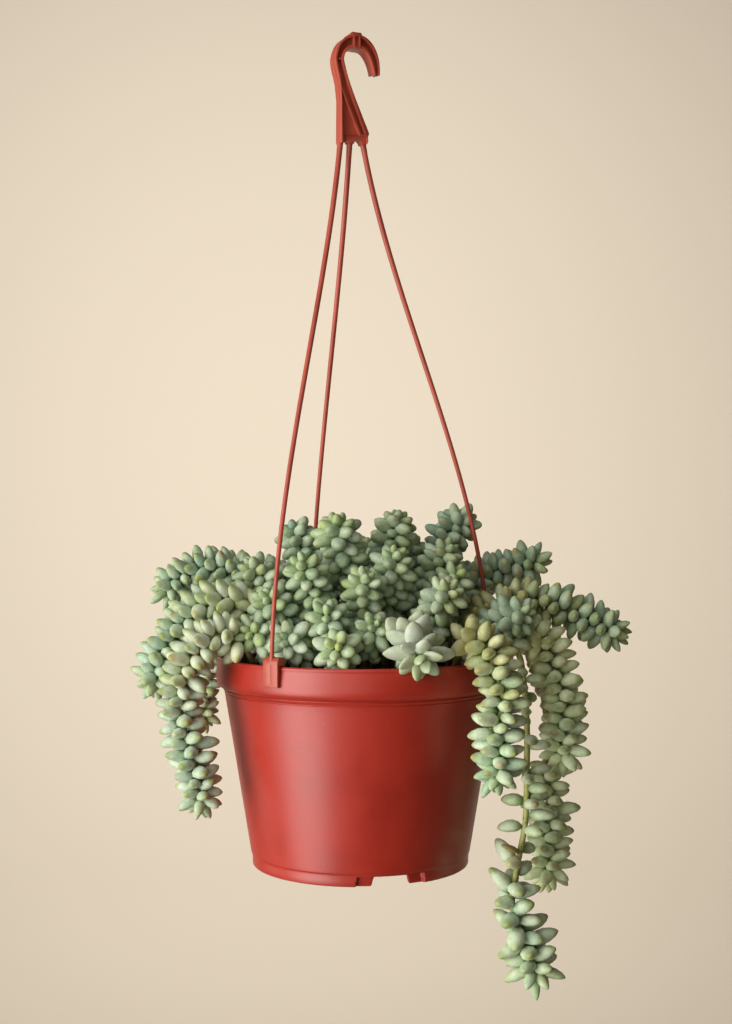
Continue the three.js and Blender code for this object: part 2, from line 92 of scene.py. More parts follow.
def grid_faces(rows, columns):
    """Quads of a grid that closes round its columns, with a fan to one more vertex at each end:
    vertices are row after row, then the first pole, then the last."""
    k = np.arange(columns)
    following = (k + 1) % columns
    start = (np.arange(rows - 1) * columns)[:, None]
    quads = np.stack([start + k, start + following, start + columns + following, start + columns + k], -1)
    first, last = rows * columns, rows * columns + 1
    end = (rows - 1) * columns
    fans = np.stack([following, k, np.full(columns, first)], -1).tolist()
    fans += np.stack([end + k, end + following, np.full(columns, last)], -1).tolist()
    return quads.reshape(-1, 4).tolist() + fans


def as_mesh(name, points, faces):
    """A mesh of points and faces."""
    mesh = bpy.data.meshes.new(name)
    mesh.from_pydata(points, [], faces)
    mesh.update()
    return mesh


def in_scene(name, data):
    """A new object in the scene for a mesh, a light or a camera."""
    thing = bpy.data.objects.new(name, data)
    bpy.context.scene.collection.objects.link(thing)
    return thing


def new_piece(name, mesh, materials, slot, *nodes, sharp=35):
    """Puts a finished mesh, in the part's frame, into the scene, and hides the model's parts that it stands
    for.
    Edges are sharp where faces meet at more than the sharp angle, in degrees."""
    mesh.name = name
    mesh.shade_smooth()
    mesh.set_sharp_from_angle(angle=np.radians(sharp))
    for material in materials:
        mesh.materials.append(material)
    piece = in_scene(name, mesh)
    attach(piece, "root")
    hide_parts(*nodes)
    return piece


def worked(mesh, cuts=(), adds=(), bevel=None):
    """The mesh with others cut out of it and added to it, and then its edges rounded over."""
    base = in_scene("work", mesh)
    others = []
    for operation, group in (("DIFFERENCE", cuts), ("UNION", adds)):
        for other in group:
            tool = in_scene("tool", other)
            others.append(tool)
            boolean = base.modifiers.new("boolean", "BOOLEAN")
            boolean.operation, boolean.object, boolean.solver = operation, tool, "EXACT"
    if bevel:
        rounding = base.modifiers.new("rounding", "BEVEL")
        rounding.width, rounding.segments, rounding.limit_method = bevel, 2, "ANGLE"
        rounding.angle_limit = np.radians(35)
    done = bpy.data.meshes.new_from_object(base.evaluated_get(bpy.context.evaluated_depsgraph_get()))
    for thing in [base, *others]:
        bpy.data.objects.remove(thing)
    return done


def place_in_frame(mesh):
    """Moves a mesh from millimetres at the pot's rim into the part's frame."""
    co = np.zeros(len(mesh.vertices) * 3)
    mesh.vertices.foreach_get("co", co)
    mesh.vertices.foreach_set("co", in_frame(co.reshape(-1, 3)).ravel())
    mesh.update()
    return mesh


def wall_radius(z):
    """The outside of the plain cone under the collar."""
    return np.interp(z, [-134.8, -23], [75.9, 94.5])


def pot_profile():
    """The wall's section as rows of radius, height and 1 where a bay pushes the skirt in: under the
    floor, down inside the skirt, up the outside, over the rim and down the inside to the floor."""
    under = [(30, FLOOR_UNDER, 0), (62, FLOOR_UNDER, 0), (71.9, FLOOR_UNDER, 1),
             (72.6, FLOOR_UNDER - 0.5, 1), (72.5, 0.9 - POT_HEIGHT, 1)]
    foot = [(72.7, 0.2 - POT_HEIGHT, 1), (73.2, -POT_HEIGHT, 1), (74, -POT_HEIGHT, 1),
            (74.5, 0.3 - POT_HEIGHT, 1), (FOOT_RADIUS, 0.9 - POT_HEIGHT, 1), (74.95, -140, 1),
            (75.05, -137.3, 1), (75.08, BAY_TOP, 0), (75.15, -136.1, 0), (75.4, -135.6, 0),
            (75.8, -135.2, 0), (75.9, -134.8, 0), (76.1, -133.6, 0)]
    cone = [(wall_radius(z), z, 0) for z in (-120, -95, -70, -45, -30, -25.6)]
    beads = []
    for z in (-24.3, -21.9):
        radius = wall_radius(z) + (0.8 if z > -23 else 0)
        beads += [(radius, z - 0.55, 0), (radius - 0.4, z - 0.1, 0), (radius - 0.4, z + 0.1, 0),
                  (radius + 0.15, z + 0.55, 0)]
    collar = smooth_line([(96.2, -20.9), (97.7, -20.2), (99.1, -18.7), (99.9, -16), (100, -12), (99.7, -7.5),
                          (99.1, -3.1)], 4)
    lip = [(99.2, -2.5), (99.45, -2), (99.45, -1.2), (99, -0.4), (98.4, -0.05), (97.7, -0.1), (97.3, -0.5)]
    inside = smooth_line([(97.4, -1.6), (97.8, -4), (98.1, -8), (98.4, -12.5), (98.2, -16), (97, -18.8),
                          (95, -20.8), (92.7, -23)], 3)
    floor = [(85.8, -65), (74.5, -133), (73.6, -134.6), (71, -135.1), (35, -135.2)]
    plain = np.vstack([collar, lip, inside, floor])
    return np.vstack([under, foot, cone, beads, np.c_[plain, np.zeros(len(plain))]])


def pot_mesh():
    """The profile turned about the axis. Within a bay the skirt's radius drops by the recess, and
    within the gap its lower rows rise to the floor, with slanted ends."""
    profile = pot_profile()
    # Columns stand close together where a bay ends and where its gap ends, on both sides of its middle.
    edges = np.array([24.8, 24.2, 23.6, 23, 22.4, 21.8, 14.6, *GAP_HALF_WIDTHS, 13.5, 12.9, 12.3, 11])
    marks = np.degrees(np.r_[edges, -edges] / FOOT_RADIUS)
    azimuths = np.r_[np.arange(0, 360, 2.25), (np.array(BAY_AZIMUTHS)[:, None] + marks).ravel() % 360]
    azimuths = np.unique(azimuths.round(3))
    turns = (azimuths[:, None] - BAY_AZIMUTHS + 180) % 360 - 180
    along_skirt = np.abs(np.radians(turns) * FOOT_RADIUS).min(1)
    # The bay's ends slant, so it is narrower at its top.
    half = np.interp(profile[:, 1:2], (-POT_HEIGHT, BAY_TOP), BAY_HALF_WIDTHS[::-1])
    recess = 1 - smoothstep(half - 0.5, half + 0.5, along_skirt)
    opening = 1 - smoothstep(*GAP_HALF_WIDTHS, along_skirt)
    radius = profile[:, :1] - BAY_RECESS * profile[:, 2:] * recess
    skirt_bottom = -POT_HEIGHT + (POT_HEIGHT + GAP_TOP) * opening
    height = np.where(profile[:, 2:] > 0, np.maximum(profile[:, 1:2], skirt_bottom), profile[:, 1:2])
    angle = np.radians(azimuths)
    grid = np.stack([radius * np.sin(angle), -radius * np.cos(angle), height + 0 * angle], -1)
    points = np.vstack([grid.reshape(-1, 3), (0, 0, FLOOR_UNDER), (0, 0, FLOOR_UNDER + WALL)])
    return as_mesh("pot", points, grid_faces(len(profile), len(azimuths)))


def drain_tools():
    """Six upright rods through the floor, one for each drain hole."""
    sides = 24
    turn = np.linspace(0, 2 * np.pi, sides, endpoint=False)
    ends = (FLOOR_UNDER - 4, FLOOR_UNDER + 6)
    tools = []
    for azimuth in np.radians(45 + 60 * np.arange(6)):
        ring = np.c_[DRAIN_CIRCLE * np.sin(azimuth) + DRAIN_RADIUS * np.cos(turn),
                     -DRAIN_CIRCLE * np.cos(azimuth) + DRAIN_RADIUS * np.sin(turn)]
        rings = [np.c_[ring, np.full(sides, end)] for end in ends]
        poles = [(*ring.mean(0), end) for end in ends]
        tools.append(as_mesh("rod", np.vstack([*rings, *poles]), grid_faces(2, sides)))
    return tools


def linear(colour):
    """An sRGB hex colour as linear red, green and blue, with an alpha of 1."""
    srgb = np.array([int(colour[i:i + 2], 16) for i in (1, 3, 5)]) / 255
    return (*np.where(srgb <= 0.04045, srgb / 12.92, ((srgb + 0.055) / 1.055) ** 2.4), 1)


def add(tree, kind, settings=None, links=None):
    """Adds a node. A setting is an attribute of the node, an input by name or number, or the stops of
    its ramp, and a link brings an output to one of its inputs."""
    node = tree.nodes.new("ShaderNode" + kind)
    for key, value in (settings or {}).items():
        if key == "stops":
            ramp = node.color_ramp
            for _ in value[2:]:
                ramp.elements.new(0.5)
            for element, (position, colour) in zip(ramp.elements, value):
                element.position, element.color = position, linear(colour)
        elif isinstance(key, str) and hasattr(node, key):
            setattr(node, key, value)
        else:
            node.inputs[key].default_value = value
    for key, output in (links or {}).items():
        tree.links.new(output, node.inputs[key])
    return node


def new_material(name, settings):
    """A material with its shader's all-over settings, and the tree and shader to link patterns to."""
    material = bpy.data.materials.new(name)
    material.use_nodes = True
    tree = material.node_tree
    tree.nodes.clear()
    shader = add(tree, "BsdfPrincipled", settings)
    add(tree, "OutputMaterial", links={"Surface": shader.outputs["BSDF"]})
    return material, tree, shader


def moulded_polypropylene(name, colour, dark, pale, drag, gloss_level):
    """Polypropylene as it leaves a satin-polished mould: an even colour with faint clouds from the melt,
    a soft broad gloss, fine drag lines along the draw, and pale dust and scuffs. The smaller drag is, the
    longer the lines."""
    material, tree, shader = new_material(name, {"IOR": 1.5, "Specular IOR Level": gloss_level})
    place = add(tree, "TexCoord").outputs["Object"]
    # Clouds of about 40 mm, and scuffs of about 1 mm.
    clouds = add(tree, "TexNoise", {"Scale": 25, "Detail": 3, "Roughness": 0.55}, {"Vector": place})
    tint = add(tree, "ValToRGB", {"stops": [(0.32, dark), (0.55, colour), (0.8, colour)]},
               {"Fac": clouds.outputs["Fac"]})
    scuffs = add(tree, "TexNoise", {"Scale": 900, "Detail": 2, "Roughness": 0.7}, {"Vector": place})
    # Dust shows only at the noise's peaks.
    dust = add(tree, "MapRange", {"From Min": 0.70, "From Max": 0.78, "To Max": 0.5},
               {"Value": scuffs.outputs["Fac"]})
    skin = add(tree, "Mix", {"data_type": "RGBA", 7: linear(pale)},
               {0: dust.outputs["Result"], 6: tint.outputs["Color"]})
    # Specks of burnt resin 0.4 mm across, about 3 cm apart: the middles of a few large cells.
    cells = add(tree, "TexVoronoi", {"Scale": 55}, {"Vector": place})
    near = add(tree, "Math", {"operation": "LESS_THAN", 1: 0.022}, {0: cells.outputs["Distance"]})
    some = add(tree, "Math", {"operation": "GREATER_THAN", 1: 0.62}, {0: cells.outputs["Color"]})
    speck = add(tree, "Math", {"operation": "MULTIPLY"}, {0: near.outputs[0], 1: some.outputs[0]})
    specked = add(tree, "Mix", {"data_type": "RGBA", 7: linear("#3a120c")},
                  {0: speck.outputs[0], 6: skin.outputs[2]})
    tree.links.new(specked.outputs[2], shader.inputs["Base Color"])
    gloss = add(tree, "MapRange", {"To Min": 0.34, "To Max": 0.44}, {"Value": clouds.outputs["Fac"]})
    tree.links.new(gloss.outputs["Result"], shader.inputs["Roughness"])
    # Drag lines 0.4 mm apart, drawn out along the pot's height.
    drawn = add(tree, "Mapping", {"Scale": (1, 1, drag)}, {"Vector": place})
    lines = add(tree, "TexNoise", {"Scale": 2500, "Detail": 2}, {"Vector": drawn.outputs["Vector"]})
    bump = add(tree, "Bump", {"Strength": 0.18, "Distance": 0.0001}, {"Height": lines.outputs["Fac"]})
    tree.links.new(bump.outputs["Normal"], shader.inputs["Normal"])
    return material


pot_plastic = moulded_polypropylene("moulded_polypropylene_pot", "#a8291b", "#9c2417", "#d8988a", 0.25, 0.7)
shell = place_in_frame(worked(pot_mesh(), cuts=drain_tools()))
new_piece("pot_shell", shell, [pot_plastic], "pot_plastic", "pot")

# Hanger: hook, three strands and three clips in one moulding of the same plastic. The hook is a ribbed
# plate, its arm a channel with a web in the middle; the strands are drawn thin and spring the clips
# over the rim.
SADDLE_HEIGHT = -RIM_Z * 1000
POT_OFFSET = AXIS_X * 1000
HOOK_TURN = np.radians(25)
HOOK_DEPTH = 10
HOOK_FOOT = -65
CHANNEL_DEPTH = 4.1
PANEL_DEPTH = 3.1
BAR_DEPTH = 1.8
EDGE_ROUNDING = 0.4
# A strand's width at its top and at its clip.
STRAND_WIDTHS = (3.9, 2.8)
# Where each strand leaves the hook's foot, in millimetres, and its clip's azimuth, in degrees.
STRANDS = {"left": (-11.4, -34), "back": (-4.4, -158), "right": (5.6, 114)}
CLIP_WIDTH = 11.6
CLIP_RADIUS = 103.4
# The arm's outer and inner edges from its tip to its foot, right of the saddle and above it.
HOOK_OUTER = [(16.6, -19), (16.2, -7.8), (12.6, 2.2), (6.6, 8), (0, 9.7), (-7.6, 7.9), (-13.4, 2.8),
              (-17, -7), (-16.4, -14), (-14, -23), (-12.4, -36)]
HOOK_INNER = [(13, -19), (11.2, -10.6), (8.4, -4.6), (4.6, -0.6), (0, 0), (-5.4, -0.4), (-9.2, -3.6),
              (-10.8, -8), (-9.9, -13), (-7, -22.6), (-2, -35.2)]


def hook_place(right, up, out=0.0):
    """A place in the hook's plane, which is turned so that its left side is nearer."""
    return np.stack([right * np.cos(HOOK_TURN) + out * np.sin(HOOK_TURN) - POT_OFFSET,
                     right * np.sin(HOOK_TURN) - out * np.cos(HOOK_TURN), SADDLE_HEIGHT + up + 0 * right], -1)


def prism(outline, low, high, put):
    """A flat outline carried from low to high along the third direction, which put turns into a place."""
    outline = np.asarray(outline, float)
    count = len(outline)
    points = np.vstack([put(outline[:, 0], outline[:, 1], np.full(count, side)) for side in (low, high)])
    k = np.arange(count)
    following = (k + 1) % count
    sides = np.stack([k, following, count + following, count + k], -1).tolist()
    mesh = as_mesh("prism", points, [k[::-1].tolist(), (count + k).tolist(), *sides])
    turned = bmesh.new()
    turned.from_mesh(mesh)
    bmesh.ops.recalc_face_normals(turned, faces=turned.faces)
    turned.to_mesh(mesh)
    turned.free()
    return mesh


def arc(centre, radius, start, end, count):
    """Points on a circle from one angle to another, in degrees."""
    turn = np.radians(np.linspace(start, end, count))
    return np.c_[centre[0] + radius * np.cos(turn), centre[1] + radius * np.sin(turn)]


def hook_mesh():
    """The plate in the arm's outline, with a channel and a shallow panel sunk into both faces."""
    outer, inner = smooth_line(HOOK_OUTER, 4), smooth_line(HOOK_INNER, 4)
    def arm_line(share):
        """A line along the arm: its outer edge at 0, its inner edge at 1."""
        return outer + (inner - outer) * share

    # Arches between the strands' roots, along the foot.
    foot = [(-12.6, HOOK_FOOT + 0.4), (-12.2, HOOK_FOOT - 1.2),
            *arc((-7.9, HOOK_FOOT - 0.6), 1.5, 180, 0, 13), *arc((0.6, HOOK_FOOT - 0.9), 3, 180, 0, 17),
            (7, HOOK_FOOT - 0.6), (7.6, HOOK_FOOT + 1.4), (7.4, -60.5), (8.3, -58.6), (7.8, -57)]
    plate = prism([*outer, *foot, *inner[::-1]], -HOOK_DEPTH / 2, HOOK_DEPTH / 2, hook_place)
    # The channel runs out at the arm's tip, and a slanting rib divides it from the panel lower down. A
    # shallow bar crosses the foot below both.
    channel = [(15.9, -20), *arm_line(0.2)[:37], (-12.2, -27.6), (2.3, -59.4), (5.5, -59.4),
               *arm_line(0.76)[::-1], (13.9, -20)]
    panel = [(-12.4, -30), (1.4, -60.4), (-11.6, -60.4)]
    bar = [(-11.4, -60.6), (6.6, -60.6), (7.2, -68), (-11.4, -68)]
    cuts = []
    for face in (-HOOK_DEPTH / 2, HOOK_DEPTH / 2):
        for outline, depth in ((channel, CHANNEL_DEPTH), (panel, PANEL_DEPTH), (bar, BAR_DEPTH)):
            cuts.append(prism(outline, face - depth, face + depth, hook_place))
    # The tip is cut off aslant, lower on the near side.
    cuts.append(prism([(-6, -22), (6, -22), (6, -17.0), (-6, -15.4)], 9, 19,
                      lambda out, up, right: hook_place(right, up, out)))
    # A fine groove along the arm's outer face, from its tip to its foot.
    cuts.append(prism([*arm_line(-0.15)[4:], *arm_line(0.06)[4:][::-1]], 0.7, 1.5, hook_place))
    keeper = [(-3.4, 0.3), (1.7, 0.3), (1.5, 8.2), (2.5, 9), (2.2, 10.9), (-4.6, 10.9), (-6.6, 9.4),
              (-6.2, 8.4), (-3.6, 8)]
    cross_rib = [(-14.8, -8.2), (-11.6, -7.8), (-11.6, -8.8), (-14.7, -9.3)]
    boss = arc((-11.8, -20), 1.2, 0, 330, 12)
    adds = [prism(keeper, -HOOK_DEPTH / 2 - 0.4, HOOK_DEPTH / 2 + 0.4, hook_place),
            prism(cross_rib, -HOOK_DEPTH / 2 + 0.8, HOOK_DEPTH / 2 - 0.8, hook_place),
            prism(boss, -2.6, 2.6, hook_place)]
    # The keeper is hollow between its two flanges.
    pocket = [prism([(-2.5, 1.2), (0.7, 1.2), (0.7, 8.2), (-2.5, 8.2)], side - 1.6, side + 1.6, hook_place)
              for side in (-5.2, 5.2)]
    return worked(worked(plate, cuts, adds), pocket, bevel=EDGE_ROUNDING)


def frames_along(line):
    """Direction of a line at each of its points, and two cross directions carried along without twist."""
    along = np.gradient(line, axis=0)
    along /= np.linalg.norm(along, axis=1)[:, None]
    across = np.zeros_like(along)
    last = np.array([1.0, 0, 0])
    for i, way in enumerate(along):
        last = last - way * (last @ way)
        last /= np.linalg.norm(last)
        across[i] = last
    return along, across, np.cross(along, across)


def tube(line, widths, thicknesses, sides):
    """An oval ring at each point of a line, then a pole at each end."""
    _, across, over = frames_along(line)
    turn = np.linspace(0, 2 * np.pi, sides, endpoint=False)[:, None]
    rings = line[:, None] + across[:, None] * (np.cos(turn) * np.asarray(widths)[:, None, None] / 2)
    rings = rings + over[:, None] * (np.sin(turn) * np.asarray(thicknesses)[:, None, None] / 2)
    return np.vstack([rings.reshape(-1, 3), line[0], line[-1]])


def around_pot(radius, azimuth, z):
    """A place at an azimuth that is 0 at the front and grows to the right."""
    angle = np.radians(azimuth)
    return np.stack([radius * np.sin(angle), -radius * np.cos(angle), z + 0 * angle], -1)


def strand_line(leaves_at, azimuth, count=64):
    """A strand drops evenly, and swings out fast at first and hardly at all where it meets its clip. Its
    swing is a cubic of the drop with slopes 0.7 and 0.1 at its ends, which lie inside the hook and clip."""
    top, end = hook_place(leaves_at, HOOK_FOOT + 1.0), around_pot(CLIP_RADIUS - 2.2, azimuth, 2.0)
    t = np.linspace(0, 1, count)[:, None]
    swing = 0.7 * (t**3 - 2 * t**2 + t) + (3 * t**2 - 2 * t**3) + 0.1 * (t**3 - t**2)
    return top + (end - top) * np.hstack([swing, swing, t])


def strand_mesh(leaves_at, azimuth):
    """An oval rod that thins on its way down, and flares as a bell curve at the hook and at the clip."""
    line = strand_line(leaves_at, azimuth)
    t = np.linspace(0, 1, len(line))
    flare = 0.4 * np.exp(-(t / 0.018) ** 2) + 1.2 * np.exp(-((1 - t) / 0.012) ** 2)
    width = np.interp(t, [0, 1], STRAND_WIDTHS) + flare
    sides = 14
    return as_mesh("strand", tube(line, width, width * 0.86, sides), grid_faces(len(line), sides))


def clip_mesh(azimuth):
    """A hooked strap over the rim: a long leg outside with a shallow groove in it, a bridge and a short
    leg inside."""
    outline = [(102.7, -13.3), (102.9, -12), (103, 2.2), (102.5, 4), (101, 5.6), (98.5, 6), (96, 5.8),
               (94.8, 4.6), (94.8, -7), (96.4, -7), (96.6, -6), (96.6, 0.5), (100.5, 0.5), (100.4, -13.3)]
    groove = [(102.75, -11.4), (104, -11.4), (104, 1.4), (102.75, 1.4)]

    def put(radius, z, side):
        """A place on the rim, side millimetres along it from the clip's middle."""
        return around_pot(radius, azimuth, z) + side[:, None] * around_pot(1, azimuth + 90, 0)

    strap = prism(outline, -CLIP_WIDTH / 2, CLIP_WIDTH / 2, put)
    return worked(strap, cuts=[prism(groove, 0.3, 0.65, put)], bevel=EDGE_ROUNDING)


hanger = bmesh.new()
hanger.from_mesh(hook_mesh())
for leaves_at, azimuth in STRANDS.values():
    hanger.from_mesh(strand_mesh(leaves_at, azimuth))
for _, azimuth in STRANDS.values():
    hanger.from_mesh(clip_mesh(azimuth))
hanger_mesh = bpy.data.meshes.new("hanger")
hanger.to_mesh(hanger_mesh)
hanger.free()
hanger_plastic = moulded_polypropylene("moulded_polypropylene_hanger", "#ae4c39", "#9d3f2f", "#dca292",
                                       0.06, 0.5)
new_piece("hanger_moulding", place_in_frame(hanger_mesh), [hanger_plastic], "hanger_plastic", "hanger",
          sharp=50)

# Soil: dark peat with bark crumbs and a little pale grit, tamped down to about 14 mm under the rim.
# Its crumbs are many small blocks sunk into a rough bed.
SOIL_DROP = 14
SOIL_RADIUS = 97.6
CRUMBS = 900
rng = np.random.default_rng(7)


def soil_level(x, y):
    """The bed is a little higher in the middle, and heaped up round the stems on the left."""
    heap = 7 * np.exp(-((x + 84)**2 + (y - 8)**2) / (2 * 30**2))
    return 1.2 - SOIL_DROP - 0.6 * np.minimum(1, np.hypot(x, y) / 60) + heap


def waves(points, longest, seed, count=24):
    """Smooth roughness from about -1 to 1: a sum of sine waves in random directions, shorter ones lower."""
    draw = np.random.default_rng(seed)
    ways = draw.normal(size=(count, points.shape[1]))
    lengths = longest * draw.uniform(0.25, 1, count)
    ways *= (2 * np.pi / lengths / np.linalg.norm(ways, axis=1))[:, None]
    heights = np.sin(points @ ways.T + draw.uniform(0, 6.28, count)) * (lengths / longest)
    return heights.sum(1) / np.sqrt(count)


def soil_mesh():
    """A turned bed whose top is roughened by waves, with scattered crumbs joined to it. A crumb is a cube
    with its corners moved in or out at random, turned at random, its middle just above the bed."""
    rings, columns = 34, 120
    angle = np.linspace(0, 2 * np.pi, columns, endpoint=False)
    radii = np.linspace(3, SOIL_RADIUS, rings)[:, None]
    top = np.stack([radii * np.sin(angle), -radii * np.cos(angle), np.zeros((rings, columns))], -1)
    top[..., 2] = soil_level(top[..., 0], top[..., 1])
    rough = waves(top[..., :2].reshape(-1, 2), 16, 3).reshape(rings, columns)
    top[..., 2] += 0.75 * rough * (radii < 92)
    low = FLOOR_UNDER + WALL
    side = np.array([(SOIL_RADIUS, -16.2), (95.4, -19.6), (91.6, -24.5), (73.6, -133.4), (72, low + 0.5),
                     (30, low + 0.4)])
    radius, height = side[:, :1], side[:, 1:]
    below = np.stack([radius * np.sin(angle), -radius * np.cos(angle), height + 0 * angle], -1)
    grid = np.vstack([top, below])
    points = np.vstack([grid.reshape(-1, 3), (0, 0, soil_level(0, 0)), (0, 0, low + 0.4)])
    faces = [face[::-1] for face in grid_faces(len(grid), columns)]
    cube = np.array([(x, y, z) for x in (-1, 1) for y in (-1, 1) for z in (-1, 1)], float)
    sides = np.array([(0, 1, 3, 2), (4, 6, 7, 5), (0, 4, 5, 1), (2, 3, 7, 6), (0, 2, 6, 4), (1, 5, 7, 3)])
    r, a = 96 * np.sqrt(rng.uniform(0, 1, CRUMBS)), rng.uniform(0, 2 * np.pi, CRUMBS)
    middle = np.c_[r * np.sin(a), -r * np.cos(a), np.zeros(CRUMBS)]
    middle[:, 2] = soil_level(middle[:, 0], middle[:, 1]) + 0.5
    turns = np.linalg.qr(rng.normal(size=(CRUMBS, 3, 3)))[0]
    turns[np.linalg.det(turns) < 0] *= -1
    size = rng.uniform(0.5, 1.9, (CRUMBS, 1, 1)) * rng.uniform(0.5, 1, (CRUMBS, 1, 3))
    blocks = (cube * size * rng.uniform(0.7, 1.2, (CRUMBS, 8, 1))) @ turns + middle[:, None]
    starts = len(points) + 8 * np.arange(CRUMBS)
    faces += (starts[:, None, None] + sides).reshape(-1, 4).tolist()
    return as_mesh("soil", np.vstack([points, blocks.reshape(-1, 3)]), faces)


def peat_and_grit():
    """Moist peat: almost black fibres that scatter little light, with paler crumbs of grit."""
    material, tree, shader = new_material("peat_and_grit", {"Roughness": 0.93, "Specular IOR Level": 0.25})
    place = add(tree, "TexCoord").outputs["Object"]
    # Crumbs of about 2 mm, each a little different.
    cells = add(tree, "TexVoronoi", {"Scale": 480}, {"Vector": place})
    stops = [(0.0, "#15100c"), (0.6, "#2a1f17"), (0.93, "#3a2d20"), (0.97, "#8c8070")]
    shade = add(tree, "ValToRGB", {"stops": stops}, {"Fac": cells.outputs["Color"]})
    tree.links.new(shade.outputs["Color"], shader.inputs["Base Color"])
    grain = add(tree, "TexNoise", {"Scale": 1400, "Detail": 4, "Roughness": 0.7}, {"Vector": place})
    bump = add(tree, "Bump", {"Strength": 0.8, "Distance": 0.0008}, {"Height": grain.outputs["Fac"]})
    tree.links.new(bump.outputs["Normal"], shader.inputs["Normal"])
    return material


new_piece("soil_bed", place_in_frame(soil_mesh()), [peat_and_grit()], "potting_mix", "soil")

# Leafy stems: each is a soft green stem packed with plump, water-filled leaves in a spiral, young ones
# closed in a bud at its tip. The heads of the crown stand up, others arch, and the oldest trail over
# the rim. Each grew in one piece, so a stem and its leaves are one mesh.
ROOT_DEPTH = 10
RISE = 3
# How much of a crown stem is leafy, in millimetres, and of one in the crown's front.
CROWN_LEAFY = 37
FRONT_LEAFY = 29
GOLDEN_ANGLE = np.radians(137.508)
# Name, middle of the head in millimetres, and tone from 0, blue-green, to 1, yellow-green.
CROWN = [
    ("crown_centre_tall", -15, -18, 83, 0.5), ("crown_right_tall", 24, 15, 86, 0.38),
    ("crown_left_tall", -44, 20, 80, 0.25), ("crown_left_shoulder", -70, -20, 56, 0.35),
    ("crown_left_inner", -36, -40, 57, 0.55), ("crown_centre", 3, -48, 47, 0.6),
    ("crown_right_inner", 22, -28, 61, 0.55), ("crown_front_left", -21, -68, 28, 0.5),
    ("crown_front_centre", 8, -71, 21, 0.5), ("crown_right_front", 55, -52, 42, 0.42),
    ("crown_rim_centre", -14, -85, 10, 0.85), ("crown_rim_left", -45, -67, 13, 0.35),
    ("crown_rim_far_left", -68, -54, 18, 0.6), ("crown_left_middle", -58, -42, 36, 0.55),
    ("crown_right_back", 56, 6, 65, 0.45), ("crown_right_middle", 62, -12, 49, 0.8),
    ("crown_right_behind", 71, 57, 89, 0.12), ("crown_right_over_rim", 103, -47, 29, 0.25),
    ("crown_middle_back", 4, 34, 66, 0.4),
    ("crown_back_left", -30, 52, 66, 0.3), ("crown_back_right", 36, 48, 68, 0.45),
    ("crown_side_left", -64, 46, 52, 0.35), ("crown_back_low", 2, 74, 46, 0.5),
    ("crown_back_far_left", -58, 70, 24, 0.4), ("crown_back_low_right", 27, 80, 28, 0.5),
    ("crown_side_far_left", -88, 16, 34, 0.3), ("crown_side_right", 69, 66, 12, 0.55),
]
# Name, leafy length, tones at the leafy stretch's start and tip, foot, then points along the stem.
LONG = [
    ("crown_rim_pale", 36, 0.15, 0.3, (23, -60), (28, -74, 15), (33, -88, 17), (37, -99, 9)),
    ("arch_left", 100, 0.35, 0.2, (-54, -4), (-66, -5, 34), (-82, -6, 52), (-99, -8, 61),
     (-118, -8, 58), (-131, -8, 47)),
    ("arch_lower_left", 132, 0.7, 0.08, (-54, -26), (-68, -31, 30), (-90, -35, 40), (-110, -36, 33),
     (-125, -36, 15), (-135, -36, -5), (-138, -36, -12)),
    ("arch_right_behind", 78, 0.3, 0.2, (62, 28), (71, 43, 36), (84, 54, 50), (105, 57, 56), (124, 57, 61)),
    ("arch_right", 112, 1.0, 0.2, (66, 2), (86, -6, 20), (105, -10, 37), (126, -12, 36), (148, -12, 27),
     (171, -12, 18)),
    ("arch_back_left", 78, 0.4, 0.25, (-50, 24), (-70, 34, 46), (-90, 44, 56), (-110, 52, 54),
     (-122, 57, 47)),
    ("arch_back_right", 74, 0.5, 0.3, (36, 56), (54, 76, 38), (68, 94, 48), (80, 110, 45), (88, 121, 37)),
    ("trail_left", 138, 0.7, 0.08, (-68, -44), (-80, -56, 14), (-98, -61, 16), (-113, -62, -4),
     (-118, -61, -26), (-115, -60, -46), (-109, -59, -66), (-105, -58, -88)),
    ("trail_front_right", 108, 1.1, 0.1, (58, -58), (70, -73, 15), (80, -84, 13), (88, -88, -9),
     (92, -87, -23), (87, -85, -38), (90, -83, -50), (88, -81, -68)),
    ("trail_right", 108, 0.95, 0.1, (82, -22), (100, -26, 15), (122, -23, 13), (134, -21, -12),
     (139, -20, -32), (139, -20, -50), (138, -20, -65)),
    ("trail_right_long", 285, 0.9, 0.12, (74, -36), (86, -37, 7), (97, -38, 12), (106, -37, 4),
     (110, -36, -16), (112, -36, -44), (112, -35, -76), (111, -35, -110), (105, -35, -142),
     (102, -35, -164), (107, -35, -182), (117, -35, -207)),
    ("trail_right_behind", 178, 0.8, 0.2, (76, 12), (92, 14, 14), (111, 18, 10), (128, 24, -24),
     (133, 24, -58), (133, 17, -92), (133, 12, -122), (132, 9, -151)),
    ("trail_back_right", 108, 0.6, 0.35, (26, 66), (36, 82, 14), (46, 97, 14), (55, 109, -8),
     (58, 113, -34), (56, 112, -60), (54, 109, -78)),
    ("trail_back", 92, 0.55, 0.3, (-10, 70), (-9, 86, 14), (-8, 101, 14), (-6, 113, -8),
     (-6, 117, -32), (-8, 117, -58)),
    ("trail_back_left", 98, 0.5, 0.3, (-70, 32), (-80, 46, 14), (-95, 58, 15), (-111, 66, -2),
     (-118, 69, -24), (-118, 69, -50)),
]
